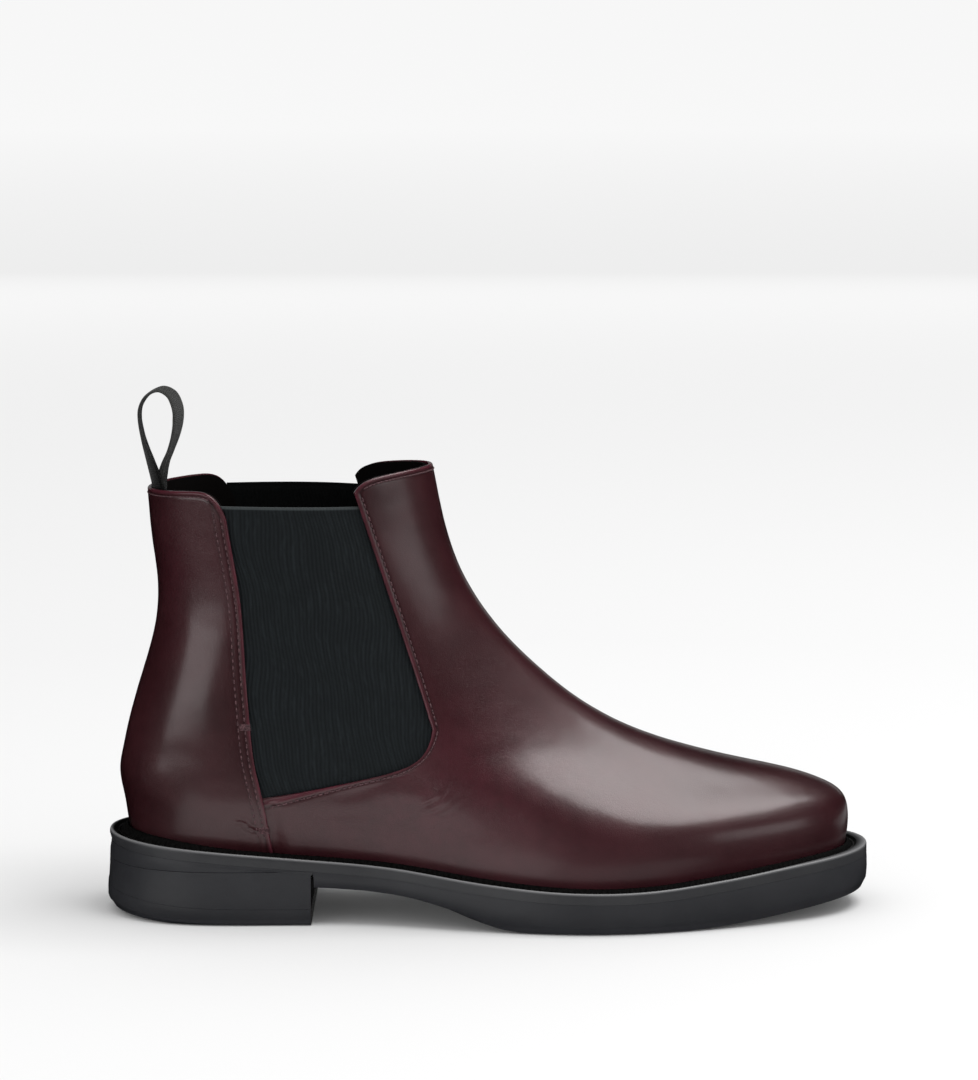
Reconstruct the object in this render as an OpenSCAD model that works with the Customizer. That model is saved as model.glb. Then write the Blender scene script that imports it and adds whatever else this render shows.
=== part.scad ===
// Chelsea boot, right foot: ankle boot with elastic side gores, a pull tab and a welted rubber sole.
// Millimetres. +X runs from the heel to the toe, -Y is the outer side of the foot, +Z is up.
// The upper is a smooth surface drawn through slices. A point on it has an angle
// (0 at the heel's centre line, 90 on the outer side, 180 at the toe's centre line)
// and a height s, counted in slices from the featherline up to the collar.

/* [Upper] */
// Thickness of the outer leather
leather_t = 1.6; // [1.2:0.1:1.6]
// Thickness of the layer between the leathers: elastic, counter, toe puff
middle_t = 1.1; // [0.7:0.1:1.1]
// Thickness of the lining leather
lining_t = 1.0; // [0.7:0.1:1.2]
// Height of the thread above the leather
thread_h = 0.4; // [0.3:0.1:0.6]

/* [Sole] */
// How far the welt stands out from the featherline
welt_w = 8.5; // [7:0.5:9]
// Thickness of the welt at its outer edge
welt_t = 4.4; // [3.6:0.2:4.4]
// Thickness of the heel's top piece
top_piece_t = 6; // [4:0.5:7]
// Thickness of the insole board
insole_t = 2; // [1.5:0.1:2]

/* [Pull tab] */
// Width of the webbing
tab_w = 16; // [14:1:24]
// Thickness of the webbing
tab_t = 1.2; // [0.9:0.1:1.3]

/* [Hidden] */

gap = 0.15;
clear = 0.3;
middle_d = leather_t + gap;
lining_d = middle_d + middle_t + 2 * gap;
lined_d = lining_d + lining_t;
centre_shift = 1.07;

// Slices of the upper, featherline to collar: back x and z, front x and z,
// four half-widths from back to front, back and front radius, share of the welt line's curve.
slices = [
    [-141.7, 29.2, 141.8, 22.5, 28.0, 29.5, 45.5, 30.0, 27, 26, 1.00],
    [-143.2, 37.0, 143.6, 34.5, 29.5, 31.0, 47.5, 31.5, 27, 27, 0.92],
    [-144.0, 44.0, 142.2, 44.3, 30.5, 32.0, 47.0, 29.5, 27, 22, 0.78],
    [-145.4, 50.0, 134.5, 49.0, 31.0, 33.0, 44.5, 25.0, 27, 15, 0.60],
    [-146.2, 55.5, 120.6, 54.2, 31.0, 33.5, 41.0, 19.5, 26, 12, 0.42],
    [-145.6, 61.5, 94.2, 59.6, 30.5, 33.5, 38.0, 18.5, 25, 11, 0.25],
    [-143.9, 69.0, 65.6, 67.6, 29.5, 33.0, 35.0, 18.5, 24, 11, 0.12],
    [-141.8, 78.0, 42.5, 78.2, 28.0, 32.5, 33.0, 18.5, 23, 12, 0.04],
    [-138.6, 89.0, 22.5, 93.4, 26.5, 32.0, 31.5, 18.0, 22, 13, 0],
    [-134.6, 101.5, 4.7, 110.4, 24.5, 31.5, 30.5, 17.5, 22, 14, 0],
    [-130.6, 116.0, -7.0, 127.0, 23.0, 31.0, 30.0, 17.5, 22, 15, 0],
    [-129.9, 132.0, -13.9, 141.0, 22.2, 31.0, 30.5, 17.5, 23, 16, 0],
    [-132.6, 148.0, -18.1, 156.0, 22.0, 31.5, 31.0, 17.5, 25, 16, 0],
    [-134.0, 165.0, -21.3, 173.0, 22.2, 32.0, 31.5, 17.5, 27, 16, 0],
    [-134.6, 182.0, -24.5, 190.0, 22.4, 32.5, 32.0, 17.5, 28, 16, 0]
];
last_slice = len(slices) - 1;
foot_back = -142;
foot_front = 142.5;

// Lines seen from the side, as [x, z]
welt_line = [
    [-155, 33.4], [-115, 29.8], [-75, 26.3], [-35, 23.4], [0, 19.2],
    [30, 16.9], [60, 16.9], [90, 19.6], [120, 23.0], [155, 26.0]
];
edge_line = [
    [-69, 15.5], [-58, 15.1], [-44, 14.3], [-29, 12.5], [-16, 9.6], [-4, 6.4],
    [11, 4.3], [22, 3.2], [58, 3.2], [78, 4.0], [95, 5.6], [112, 7.2], [130, 9.0], [152, 11.6]
];
tread_line = [
    [-69, 15.0], [-44, 13.8], [-29, 12.0], [-16, 8.6], [-4, 4.2],
    [6, 1.2], [14, 0], [76, 0], [92, 1.0], [112, 3.2], [130, 5.6], [152, 8.6]
];
heel_edge_line = [[-152, 6.2], [-146, 5.2], [-137, 3.7], [-128, 2.3], [-116, 1.2], [-104, 0.8], [-66, 0.6]];
heel_tread_line = [[-152, 3.0], [-140, 1.6], [-130, 0.6], [-122, 0], [-66, 0]];
// How far the centre of the foot bends to the inner side along its length
camber_line = [[-160, 0], [-90, 0], [-40, -1.0], [0, -2.2], [40, -1.6], [80, 2.0], [120, 6.0], [160, 9.0]];
// Edges of the gore seen from the side, as [z, x]
quarter_edge = [[20, -83.5], [49.5, -88.4], [61.4, -91], [89, -93.9], [128, -96.8], [160, -102], [180, -104.5]];
gore_edge = [[40, -14], [77.4, -22], [93, -26.8], [116.6, -34.5], [140, -42.2], [165.5, -50.6], [180, -55.4]];
gore_corner_z = 77.4;
gore_foot_z = 47.5;
gore_top_lateral = 164;
gore_top_medial = 165.8;
heel_seat_z = 21.3;
breast_x = -68.4;

function mix(a, b, t) = a + (b - a) * t;
function clamp(v, lo, hi) = min(max(v, lo), hi);
function ease(t) = (1 - cos(180 * t)) / 2;
function unit(v) = v / norm(v);
function flat(rows) = [for (row = rows) each row];
function twin(path) = [for (p = path) [360 - p[0], p[1]]];

// Smooth curve through a table of points
function knot(table, x, i = 0) =
    i >= len(table) - 2 || x < table[i + 1][0] ? i : knot(table, x, i + 1);
function chord(table, i) = (table[i + 1][1] - table[i][1]) / (table[i + 1][0] - table[i][0]);
function slope(table, i) =
    i == 0 ? chord(table, 0)
    : i == len(table) - 1 ? chord(table, i - 1)
    : let (h0 = table[i][0] - table[i - 1][0], h1 = table[i + 1][0] - table[i][0])
        (chord(table, i - 1) * h1 + chord(table, i) * h0) / (h0 + h1);
function curve(table, x) =
    let (
        i = knot(table, x),
        h = table[i + 1][0] - table[i][0],
        t = clamp((x - table[i][0]) / h, 0, 1)
    )
    (2 * t^3 - 3 * t^2 + 1) * table[i][1]
    + (t^3 - 2 * t^2 + t) * h * slope(table, i)
    + (3 * t^2 - 2 * t^3) * table[i + 1][1]
    + (t^3 - t^2) * h * slope(table, i + 1);
function welt_z(x) = curve(welt_line, x);
welt_z_back = welt_z(foot_back);
welt_z_front = welt_z(foot_front);

// Slice at height s, blended from four neighbours
knots = concat(
    [2 * slices[0] - slices[1]],
    slices,
    [2 * slices[last_slice] - slices[last_slice - 1]]
);
function slice(s) =
    let (i = clamp(floor(s), 0, last_slice - 1), f = s - i)
    ((1 - f)^3 * knots[i]
        + (3 * f^3 - 6 * f^2 + 4) * knots[i + 1]
        + (3 * f^2 - 3 * f^3 + 3 * f + 1) * knots[i + 2]
        + f^3 * knots[i + 3]) / 6;

// A slice's half-width is a sum of cosines through six stations 36 degrees apart
waves = [for (k = [0:5]) [for (j = [0:5])
    (k == 0 || k == 5 ? 0.2 : 0.4) * (j == 0 || j == 5 ? 0.5 : 1) * cos(36 * j * k)]];
function stations(p) =
    let (l = norm([p[2] - p[0], p[3] - p[1]]))
    [sqrt(p[8] * l / 2), p[4] / sin(36), p[5] / sin(72), p[6] / sin(108), p[7] / sin(144), sqrt(p[9] * l / 2)];
function side_z(p, t) =
    mix(p[1], p[3], t)
    + p[10] * (welt_z(mix(foot_back, foot_front, t)) - mix(welt_z_back, welt_z_front, t));
function shape_at(a, s) =
    let (
        p = slice(s),
        t = (1 - cos(a)) / 2,
        x = mix(p[0], p[2], t),
        half = (waves * stations(p)) * [for (k = [0:5]) cos(k * a)]
    )
    [x, curve(camber_line, x) + centre_shift - sin(a) * half, side_z(p, t)];
function normal(a, s) =
    unit(cross(shape_at(a + 0.5, s) - shape_at(a - 0.5, s), shape_at(a, s + 0.02) - shape_at(a, s - 0.02)));
// Point at a depth below the outer surface
function layer(a, s, depth) = shape_at(a, s) - depth * normal(a, s);

// Angle on slice s of the point with side position x
function angle_at(s, x) =
    let (p = slice(s))
    acos(clamp(1 - 2 * (x - p[0]) / (p[2] - p[0]), -1, 1));
function z_at(s, x) =
    let (p = slice(s))
    side_z(p, clamp((x - p[0]) / (p[2] - p[0]), 0, 1));
function height_at(x, z, lo = 0, hi = 13.9, n = 15) =
    let (m = (lo + hi) / 2)
    n == 0 ? m : z_at(m, x) < z ? height_at(x, z, m, hi, n - 1) : height_at(x, z, lo, m, n - 1);
// Surface address [angle, s] of a point seen from the side
function address(x, z) =
    let (s = height_at(x, z))
    [angle_at(s, x), s];
// Angle of a seam line x(z) on slice s
function seam_angle(line, s, x, n = 4) =
    n == 0 ? angle_at(s, x) : seam_angle(line, s, curve(line, z_at(s, x)), n - 1);
function quarter_angle(s) = seam_angle(quarter_edge, s, -92);
function gore_angle(s) = seam_angle(gore_edge, s, -32);

// Closed solid between two grids of points
function quad(a, b, c, d) = [[a, b, c], [a, c, d]];
module shell(outer, inner) {
    rows = len(outer);
    cols = len(outer[0]);
    n = rows * cols;
    skin = [for (j = [0:rows - 2]) for (i = [0:cols - 2]) let (p = j * cols + i)
        each concat(
            quad(p, p + cols, p + cols + 1, p + 1),
            quad(n + p, n + p + 1, n + p + cols + 1, n + p + cols)
        )];
    ends = [for (i = [0:cols - 2]) let (t = n - cols + i)
        each concat(quad(i, i + 1, n + i + 1, n + i), quad(t + 1, t, n + t, n + t + 1))];
    sides = [for (j = [0:rows - 2]) let (l = j * cols, r = l + cols - 1)
        each concat(
            quad(l + cols, l, n + l, n + l + cols),
            quad(r, r + cols, n + r + cols, n + r)
        )];
    polyhedron(points = concat(flat(outer), flat(inner)), faces = concat(skin, ends, sides), convexity = 8);
}

// Closed solid of stacked rings, bottom to top; point i faces point n - i across each cap
module stack(rings) {
    n = len(rings[0]);
    top = (len(rings) - 1) * n;
    walls = [for (j = [0:len(rings) - 2]) for (i = [0:n - 1]) let (k = (i + 1) % n, p = j * n)
        each quad(p + i, p + n + i, p + n + k, p + k)];
    caps = [for (i = [1:n / 2 - 2])
        each concat(
            quad(i, i + 1, n - i - 1, n - i),
            quad(top + n - i, top + n - i - 1, top + i + 1, top + i)
        )];
    h = n / 2;
    tips = [[0, 1, n - 1], [h - 1, h, h + 1], [top + n - 1, top + 1, top], [top + h + 1, top + h, top + h - 1]];
    polyhedron(points = flat(rings), faces = concat(walls, caps, tips), convexity = 8);
}

// Solid swept through sections of equal length, closed into a ring or with flat ends
module sweep(sections, ring = false) {
    m = len(sections[0]);
    n = len(sections);
    walls = [for (k = [0:n - (ring ? 1 : 2)]) for (q = [0:m - 1])
        let (a = k * m, b = ((k + 1) % n) * m, r = (q + 1) % m)
        each quad(a + q, a + r, b + r, b + q)];
    e = (n - 1) * m;
    ends = ring ? [] : [for (q = [1:m - 2]) each [[0, q + 1, q], [e, e + q, e + q + 1]]];
    polyhedron(points = flat(sections), faces = concat(walls, ends), convexity = 8);
}

// Thread lying just above the leather along a path of addresses
module thread(path, width = 0.7) {
    at = [for (p = path) layer(p[0], p[1], -0.1)];
    last = len(path) - 1;
    sweep([for (i = [0:last])
        let (
            up = normal(path[i][0], path[i][1]),
            along = unit(at[min(i + 1, last)] - at[max(i - 1, 0)]),
            side = unit(cross(along, up)) * width / 2,
            lift = up * thread_h
        )
        [at[i] + side, at[i] + side + lift, at[i] - side + lift, at[i] - side]]);
}
module thread_pair(path, width = 0.7) {
    thread(path, width);
    thread([for (i = [len(path) - 1:-1:0]) [360 - path[i][0], path[i][1]]], width);
}

// ---- Outlines of the upper's panels

quarter_cols = 24;
quarter_rows = 18;
function quarter_top(p) = 13.2 - 0.68 * abs(p)^18;
function quarter_grid(depth, cols, rows, low = 0, trim = 0) =
    [for (j = [0:rows]) [for (i = [0:cols])
        let (p = sin(mix(-90, 90, i / cols)), s = mix(low, quarter_top(p) - trim, j / rows))
        layer(p * (quarter_angle(s) - trim * 4), s, depth)]];

// Foot of the gore: u runs along it from the quarter's seam to the front corner
function gore_foot(u) = gore_foot_z + 18.7 * u + (gore_corner_z - gore_foot_z - 18.7) * u^12;
function gore_point(u, z) = [mix(curve(quarter_edge, z), curve(gore_edge, z), u), z];
function gore_address(u, z) = let (q = gore_point(u, z)) address(q[0], q[1]);
corner = gore_address(1, gore_corner_z);
instep_s = 8.7;
function split_s(a) = mix(corner[1], instep_s, ease((a - corner[0]) / (180 - corner[0])));

// Upper edge of the vamp on one side, from the quarter's seam to the instep's centre line
function vamp_edge(foot_steps, front_steps) = concat(
    [for (i = [0:foot_steps]) let (u = sin(90 * i / foot_steps)) concat(gore_address(u, gore_foot(u)), [1 - u])],
    [for (i = [1:front_steps]) let (a = mix(corner[0], 180, i / front_steps)) [a, split_s(a), 0]]
);
function both_sides(half) = concat(half, [for (i = [len(half) - 2:-1:0]) [360 - half[i][0], half[i][1], half[i][2]]]);
function vamp_grid(depth, edge, rows, low = 0, trim = 0) =
    let (seam = edge[0][0])
    [for (j = [0:rows]) [for (e = edge)
        let (
            s = mix(low, e[1] - trim, j / rows),
            swing = e[2] * (quarter_angle(s) - seam),
            a = e[0] < 180 ? e[0] + swing : e[0] - swing
        )
        layer(a, s, depth)]];

function shaft_top(q) = 13.28 - 0.12 * abs(q)^3 - 0.24 * abs(q)^16;
function shaft_grid(depth, cols, rows, trim = 0) =
    [for (j = [0:rows]) [for (i = [0:cols])
        let (
            q = sin(mix(-90, 90, i / cols)),
            a0 = mix(corner[0], 180, 1 - abs(q)),
            low = split_s(a0) + 0.025 + trim / 2,
            s = mix(low, shaft_top(q) - trim, j / rows),
            s_edge = mix(corner[1] + 0.025, shaft_top(1), j / rows),
            a = mix(gore_angle(s_edge) + trim * 4, 180, 1 - abs(q))
        )
        layer(q < 0 ? a : 360 - a, s, depth)]];

// ---- Upper

module vamp() {
    edge = both_sides(vamp_edge(9, 17));
    color([0.27, 0.10, 0.11])
        shell(vamp_grid(0, edge, 15), vamp_grid(leather_t, edge, 15));
}

// Lasting margin: the vamp and quarter turn in under the insole all round
module lasting_margin() {
    steps = mirrored(even(0, 180, 28));
    color([0.27, 0.10, 0.11]) sweep([for (a = steps)
        [hung(a, -0.2, -3.3), hung(a, -10, -3.0), hung(a, -10, -4.1), hung(a, -0.2, -4.1)]], true);
}

module vamp_shaft() {
    color([0.27, 0.10, 0.11])
        shell(shaft_grid(0, 22, 14), shaft_grid(leather_t, 22, 14));
}

module back_quarter() {
    color([0.25, 0.09, 0.10])
        shell(
            quarter_grid(0, quarter_cols, quarter_rows),
            quarter_grid(leather_t, quarter_cols, quarter_rows)
        );
}

module gore(side) {
    cols = 12;
    rows = 14;
    function sheet(depth) = [for (j = [0:rows]) [for (i = [0:cols])
        let (
            u = mix(0.01, 0.985, sin(90 * i / cols)),
            z = mix(gore_foot(u) + 0.6, side > 0 ? gore_top_lateral : gore_top_medial, j / rows),
            q = gore_address(u, z)
        )
        layer(side > 0 ? q[0] : 360 - q[0], q[1], depth)]];
    top = sheet(0.7);
    bottom = sheet(0.7 + middle_t);
    color([0.07, 0.08, 0.085])
        shell(side > 0 ? top : bottom, side > 0 ? bottom : top);
}
module gore_lateral() {
    gore(1);
}
module gore_medial() {
    gore(-1);
}

module vamp_lining() {
    edge = both_sides(vamp_edge(6, 12));
    color([0.06, 0.06, 0.06])
        shell(vamp_grid(lining_d, edge, 10, 0.12, 0.03), vamp_grid(lined_d, edge, 10, 0.12, 0.03));
}
module shaft_lining() {
    color([0.06, 0.06, 0.06])
        shell(shaft_grid(lining_d, 16, 10, 0.03), shaft_grid(lined_d, 16, 10, 0.03));
}
module quarter_lining() {
    color([0.06, 0.06, 0.06])
        shell(quarter_grid(lining_d, 18, 12, 0.12, 0.03), quarter_grid(lined_d, 18, 12, 0.12, 0.03));
}

// Stiff cups between the leathers at the heel and the toe
module cup(middle, reach, low, top, drop) {
    cols = 16;
    rows = 7;
    function sheet(depth) = [for (j = [0:rows]) [for (i = [0:cols])
        let (p = mix(-1, 1, i / cols))
        layer(middle + p * reach, mix(low, top - drop * p^2, j / rows), depth)]];
    shell(sheet(middle_d + 0.12), sheet(middle_d + middle_t));
}
module heel_counter() {
    color([0.75, 0.68, 0.55]) cup(0, 42, 0.35, 6.3, 2.6);
}
module toe_puff() {
    color([0.75, 0.68, 0.55]) cup(180, 42, 0.5, 5.0, 2.2);
}

// ---- Stitching

seam_steps = 26;
function quarter_row(inset, top) = [for (i = [0:seam_steps])
    let (z = mix(gore_foot_z - 13, top, i / seam_steps)) address(curve(quarter_edge, z) - inset, z)];
module quarter_stitching() {
    color([0.16, 0.06, 0.07]) {
        thread_pair(quarter_row(1.9, 160));
        thread_pair(quarter_row(4.6, 162));
    }
}
module vamp_stitching() {
    color([0.16, 0.06, 0.07]) thread_pair([for (i = [0:16])
        let (
            u = mix(0.03, 0.999, sin(90 * i / 16)),
            q = gore_point(u, gore_foot(u)),
            ahead = gore_point(u + 0.001, gore_foot(u + 0.001)),
            along = unit([ahead[0] - q[0], ahead[1] - q[1]])
        )
        address(q[0] + 2.2 * along[1], q[1] - 2.2 * along[0])]);
}
module shaft_stitching() {
    color([0.16, 0.06, 0.07]) {
        thread_pair([for (i = [0:20])
            let (z = mix(gore_corner_z + 2.5, gore_top_lateral, i / 20)) address(curve(gore_edge, z) + 2.2, z)]);
        thread([for (i = [0:26])
            let (q = mix(-0.88, 0.88, i / 26), s = shaft_top(q) - 0.15, a = mix(gore_angle(s), 180, 1 - abs(q)))
            [q < 0 ? a : 360 - a, s]]);
    }
}
module collar_stitching() {
    color([0.16, 0.06, 0.07]) thread([for (i = [0:28])
        let (p = mix(-0.84, 0.84, i / 28), s = quarter_top(p) - 0.15)
        [p * quarter_angle(s), s]]);
}
module seam_bartacks() {
    color([0.13, 0.05, 0.06]) for (z = [36.5, 78])
        thread_pair([for (i = [0:3])
            address(curve(quarter_edge, z) - mix(8.6, 6, i / 3), z)], 2.2);
}

// ---- Pull tab, a loop of webbing in the XZ plane

tab_root_x = -131.5;
tab_root_z = 170.3;
tab_rise = [
    [-0.75, 0], [-1.3, 2.8], [-2.8, 9.4], [-4.5, 17.1], [-5.6, 23.9], [-5.1, 29.4], [-2.2, 34.1], [2.6, 36.3],
    [7.0, 34.3], [9.3, 29.5], [9.6, 24.5], [8.5, 18.9], [6.1, 12.5], [3.4, 7.1], [1.4, 2.8], [0.75, 0]
];
function loop_point(k, t) =
    let (
        n = len(tab_rise) - 1,
        a = tab_rise[max(k - 1, 0)],
        b = tab_rise[k],
        c = tab_rise[min(k + 1, n)],
        d = tab_rise[min(k + 2, n)]
    )
    0.5 * (2 * b + (c - a) * t + (2 * a - 5 * b + 4 * c - d) * t^2 + (3 * b - a - 3 * c + d) * t^3);
tab_line = concat(
    [for (k = [0:len(tab_rise) - 2]) for (t = [0, 0.34, 0.67]) loop_point(k, t)],
    [tab_rise[len(tab_rise) - 1]]
);
function tab_side(offset) = [for (i = [0:len(tab_line) - 1])
    let (d = unit(tab_line[min(i + 1, len(tab_line) - 1)] - tab_line[max(i - 1, 0)]))
    tab_line[i] + offset * [-d[1], d[0]]];
module pull_tab() {
    inner = tab_side(-tab_t / 2);
    color([0.06, 0.065, 0.06])
        translate([tab_root_x, tab_w / 2 + centre_shift, tab_root_z])
            rotate([90, 0, 0])
                linear_extrude(tab_w)
                    polygon(concat(tab_side(tab_t / 2), [for (i = [len(inner) - 1:-1:0]) inner[i]]));
}
module pull_tab_ends() {
    rows = 5;
    cols = 8;
    function sheet(depth) = [for (j = [0:rows]) [for (i = [0:cols])
        layer(mix(-24, 24, i / cols) * tab_w / 20, mix(11.9, 13.15, j / rows), depth)]];
    color([0.06, 0.065, 0.06]) shell(sheet(middle_d + 0.1), sheet(middle_d + middle_t));
}

// ---- Sole

function mirrored(half) = concat(half, [for (i = [len(half) - 2:-1:1]) 360 - half[i]]);
function plan_normal(a) =
    let (d = shape_at(a + 1, 0) - shape_at(a - 1, 0))
    unit([d[1], -d[0]]);
// Point on the featherline moved outwards by e, at height z
function level(a, e, z) =
    let (p = shape_at(a, 0), n = plan_normal(a))
    [p[0] + e * n[0], p[1] + e * n[1], z];
// The same, at a height measured from the welt's line
function hung(a, e, rise) =
    let (p = level(a, e, 0))
    [p[0], p[1], welt_z(p[0]) + rise];
function foot_x(a) = mix(foot_back, foot_front, (1 - cos(a)) / 2);
function foot_angle(x) = acos(1 - 2 * (x - foot_back) / (foot_front - foot_back));

function even(from, to, n) = [for (i = [0:n]) mix(from, to, i / n)];
welt_steps = mirrored(even(0, 180, 40));
function sheet_ring(steps, inset, rise) = [for (a = steps) hung(a, -inset, rise)];

module insole_board() {
    steps = mirrored(even(0, 180, 26));
    color([0.72, 0.58, 0.42]) stack([
        sheet_ring(steps, lined_d + 0.4, -2.6),
        sheet_ring(steps, lined_d + 0.4, insole_t - 2.6)
    ]);
}
module sock_liner() {
    steps = mirrored(even(0, 180, 26));
    color([0.08, 0.07, 0.07]) stack([
        sheet_ring(steps, lined_d + 0.6, insole_t - 2.4),
        sheet_ring(steps, lined_d + 0.6, insole_t - 1.2)
    ]);
}

module shank() {
    xs = even(-112, -8, 20);
    color([0.55, 0.56, 0.58])
        translate([0, 7 + centre_shift, 0]) rotate([90, 0, 0]) linear_extrude(14)
            polygon(concat(
                [for (x = xs) [x, welt_z(x) - 4.1]],
                [for (i = [20:-1:0]) [xs[i], welt_z(xs[i]) - 2.9]]
            ));
}

filler_x = 2;
function filler_ring(rise) =
    let (
        steps = even(foot_angle(filler_x), 180, 18),
        z = welt_z(filler_x) + rise,
        r = level(steps[0], -11, z),
        l = level(360 - steps[0], -11, z)
    )
    concat(
        [(r + l) / 2 - [2, 0, 0]],
        [for (a = steps) hung(a, -11, rise)],
        [for (i = [17:-1:0]) hung(360 - steps[i], -11, rise)]
    );
module bottom_filler() {
    color([0.60, 0.46, 0.30]) stack([filler_ring(-4.1), filler_ring(-3.0)]);
}

// Height on the upper where the welt's inner ridge touches it
ridge = 2;
function ridge_s(a, lo = 0, hi = 2.5, n = 12) =
    let (m = (lo + hi) / 2)
    n == 0 ? m
    : shape_at(a, m)[2] < welt_z(foot_x(a)) + ridge ? ridge_s(a, m, hi, n - 1) : ridge_s(a, lo, m, n - 1);
module welt() {
    color([0.07, 0.07, 0.08]) sweep([for (a = welt_steps)
        let (z = welt_z(foot_x(a)), s = ridge_s(a))
        [
            level(a, welt_w, z - welt_t),
            level(a, welt_w + 0.2, z - 0.9),
            level(a, welt_w - 0.6, z),
            layer(a, s, -clear - 0.7),
            layer(a, s * 0.8, -clear),
            layer(a, 0, -clear),
            level(a, clear, z - welt_t)
        ]], true);
}
module welt_stitching() {
    color([0.10, 0.09, 0.10]) sweep([for (a = welt_steps)
        let (
            z = welt_z(foot_x(a)),
            foot = layer(a, ridge_s(a), -clear - 0.7),
            edge = level(a, welt_w - 0.6, z),
            p = mix(foot, edge, 0.42) + [0, 0, 0.12],
            q = mix(foot, edge, 0.30) + [0, 0, 0.12],
            lift = [0, 0, thread_h]
        )
        [p, p + lift, q + lift, q]], true);
}

// The outsole is thin over the heel and steps down in front of the heel block
sole_half = concat(
    even(0, foot_angle(breast_x - 0.3), 14),
    even(foot_angle(breast_x + 0.3), 180, 30)
);
function under_heel(a) = foot_x(a) < breast_x;
function sole_ring(e, line) = [for (a = mirrored(sole_half))
    level(a, e, under_heel(a) ? heel_seat_z : max(curve(line, foot_x(a)), 0))];
module outsole() {
    steps = mirrored(sole_half);
    color([0.06, 0.065, 0.075]) stack([
        sole_ring(welt_w - 6, tread_line),
        sole_ring(welt_w - 2.5, tread_line),
        sole_ring(welt_w + 0.1, edge_line),
        [for (a = steps) level(a, welt_w + 0.4, welt_z(foot_x(a)) - welt_t - 1.6)],
        [for (a = steps) level(a, welt_w, welt_z(foot_x(a)) - welt_t - 0.3)],
        [for (a = steps) level(a, -2, welt_z(foot_x(a)) - welt_t - 0.3)]
    ]);
}

breast_bow = 3;
function heel_ring(e, line, rise = 0) =
    let (
        steps = even(0, foot_angle(breast_x - 1), 18),
        z_end = max(curve(line, breast_x), 0) + rise,
        r = level(steps[18], e, z_end),
        l = level(360 - steps[18], e, z_end),
        bow = [for (i = [1:7]) mix(r, l, i / 8) - [breast_bow * sin(180 * i / 8), 0, 0]]
    )
    concat(
        [for (a = steps) level(a, e, max(curve(line, foot_x(a)), 0) + rise)],
        bow,
        [for (i = [18:-1:1]) level(360 - steps[i], e, max(curve(line, foot_x(steps[i])), 0) + rise)]
    );
flat_top = [[-160, heel_seat_z - clear], [0, heel_seat_z - clear]];
module heel_block() {
    color([0.055, 0.06, 0.07]) stack([
        heel_ring(welt_w + 0.9, heel_edge_line, top_piece_t + 0.2),
        heel_ring(welt_w + 0.1, flat_top)
    ]);
}
module heel_top_piece() {
    color([0.05, 0.055, 0.06]) stack([
        heel_ring(welt_w - 2.2, heel_tread_line),
        heel_ring(welt_w + 0.6, heel_edge_line),
        heel_ring(welt_w + 1.0, heel_edge_line, 1.5),
        heel_ring(welt_w + 0.9, heel_edge_line, top_piece_t - 0.1)
    ]);
}
module heel_nails() {
    color([0.62, 0.62, 0.60])
        for (p = [[-127, 0], [-118, 12], [-118, -12], [-92, 13], [-92, -13]])
            translate([p[0], p[1] + centre_shift, 10]) {
                cylinder(h = welt_z(p[0]) - 13.8, r = 1.1, $fn = 24);
                translate([0, 0, welt_z(p[0]) - 13.8]) cylinder(h = 0.8, r = 2.4, $fn = 24);
            }
}

vamp();
vamp_shaft();
back_quarter();
lasting_margin();
gore_lateral();
gore_medial();
vamp_lining();
shaft_lining();
quarter_lining();
heel_counter();
toe_puff();
quarter_stitching();
vamp_stitching();
shaft_stitching();
collar_stitching();
seam_bartacks();
pull_tab();
pull_tab_ends();
insole_board();
sock_liner();
shank();
bottom_filler();
welt();
welt_stitching();
outsole();
heel_block();
heel_top_piece();
heel_nails();
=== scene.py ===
"""Chelsea boot: leather upper, elastic gores, webbing pull tab and welted rubber sole.

The upper is the same surface as in the CAD: slices from the featherline to the collar, with a
point's address given by an angle (0 at the heel, 90 on the outer side, 180 at the toe, in
degrees) and a height s counted in slices. All the shape code works in millimetres.
"""
import math

import bpy
import numpy as np
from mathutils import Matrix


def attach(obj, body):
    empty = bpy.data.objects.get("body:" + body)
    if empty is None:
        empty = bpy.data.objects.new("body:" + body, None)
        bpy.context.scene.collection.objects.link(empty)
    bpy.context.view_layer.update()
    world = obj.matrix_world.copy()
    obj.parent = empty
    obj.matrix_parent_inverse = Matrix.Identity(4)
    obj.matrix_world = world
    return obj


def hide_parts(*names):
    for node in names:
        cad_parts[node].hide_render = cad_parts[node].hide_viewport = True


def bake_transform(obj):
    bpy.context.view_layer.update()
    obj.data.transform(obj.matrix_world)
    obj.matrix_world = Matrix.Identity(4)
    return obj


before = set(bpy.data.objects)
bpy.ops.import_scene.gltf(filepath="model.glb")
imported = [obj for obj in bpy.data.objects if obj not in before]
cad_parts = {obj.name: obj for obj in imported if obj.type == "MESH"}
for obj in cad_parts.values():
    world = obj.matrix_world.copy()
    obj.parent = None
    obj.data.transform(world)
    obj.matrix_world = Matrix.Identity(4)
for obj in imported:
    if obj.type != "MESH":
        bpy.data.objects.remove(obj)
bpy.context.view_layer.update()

# -------- surface of the upper

# Sideways shift of the whole upper, in millimetres
CENTRE_SHIFT = 1.07
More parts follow.
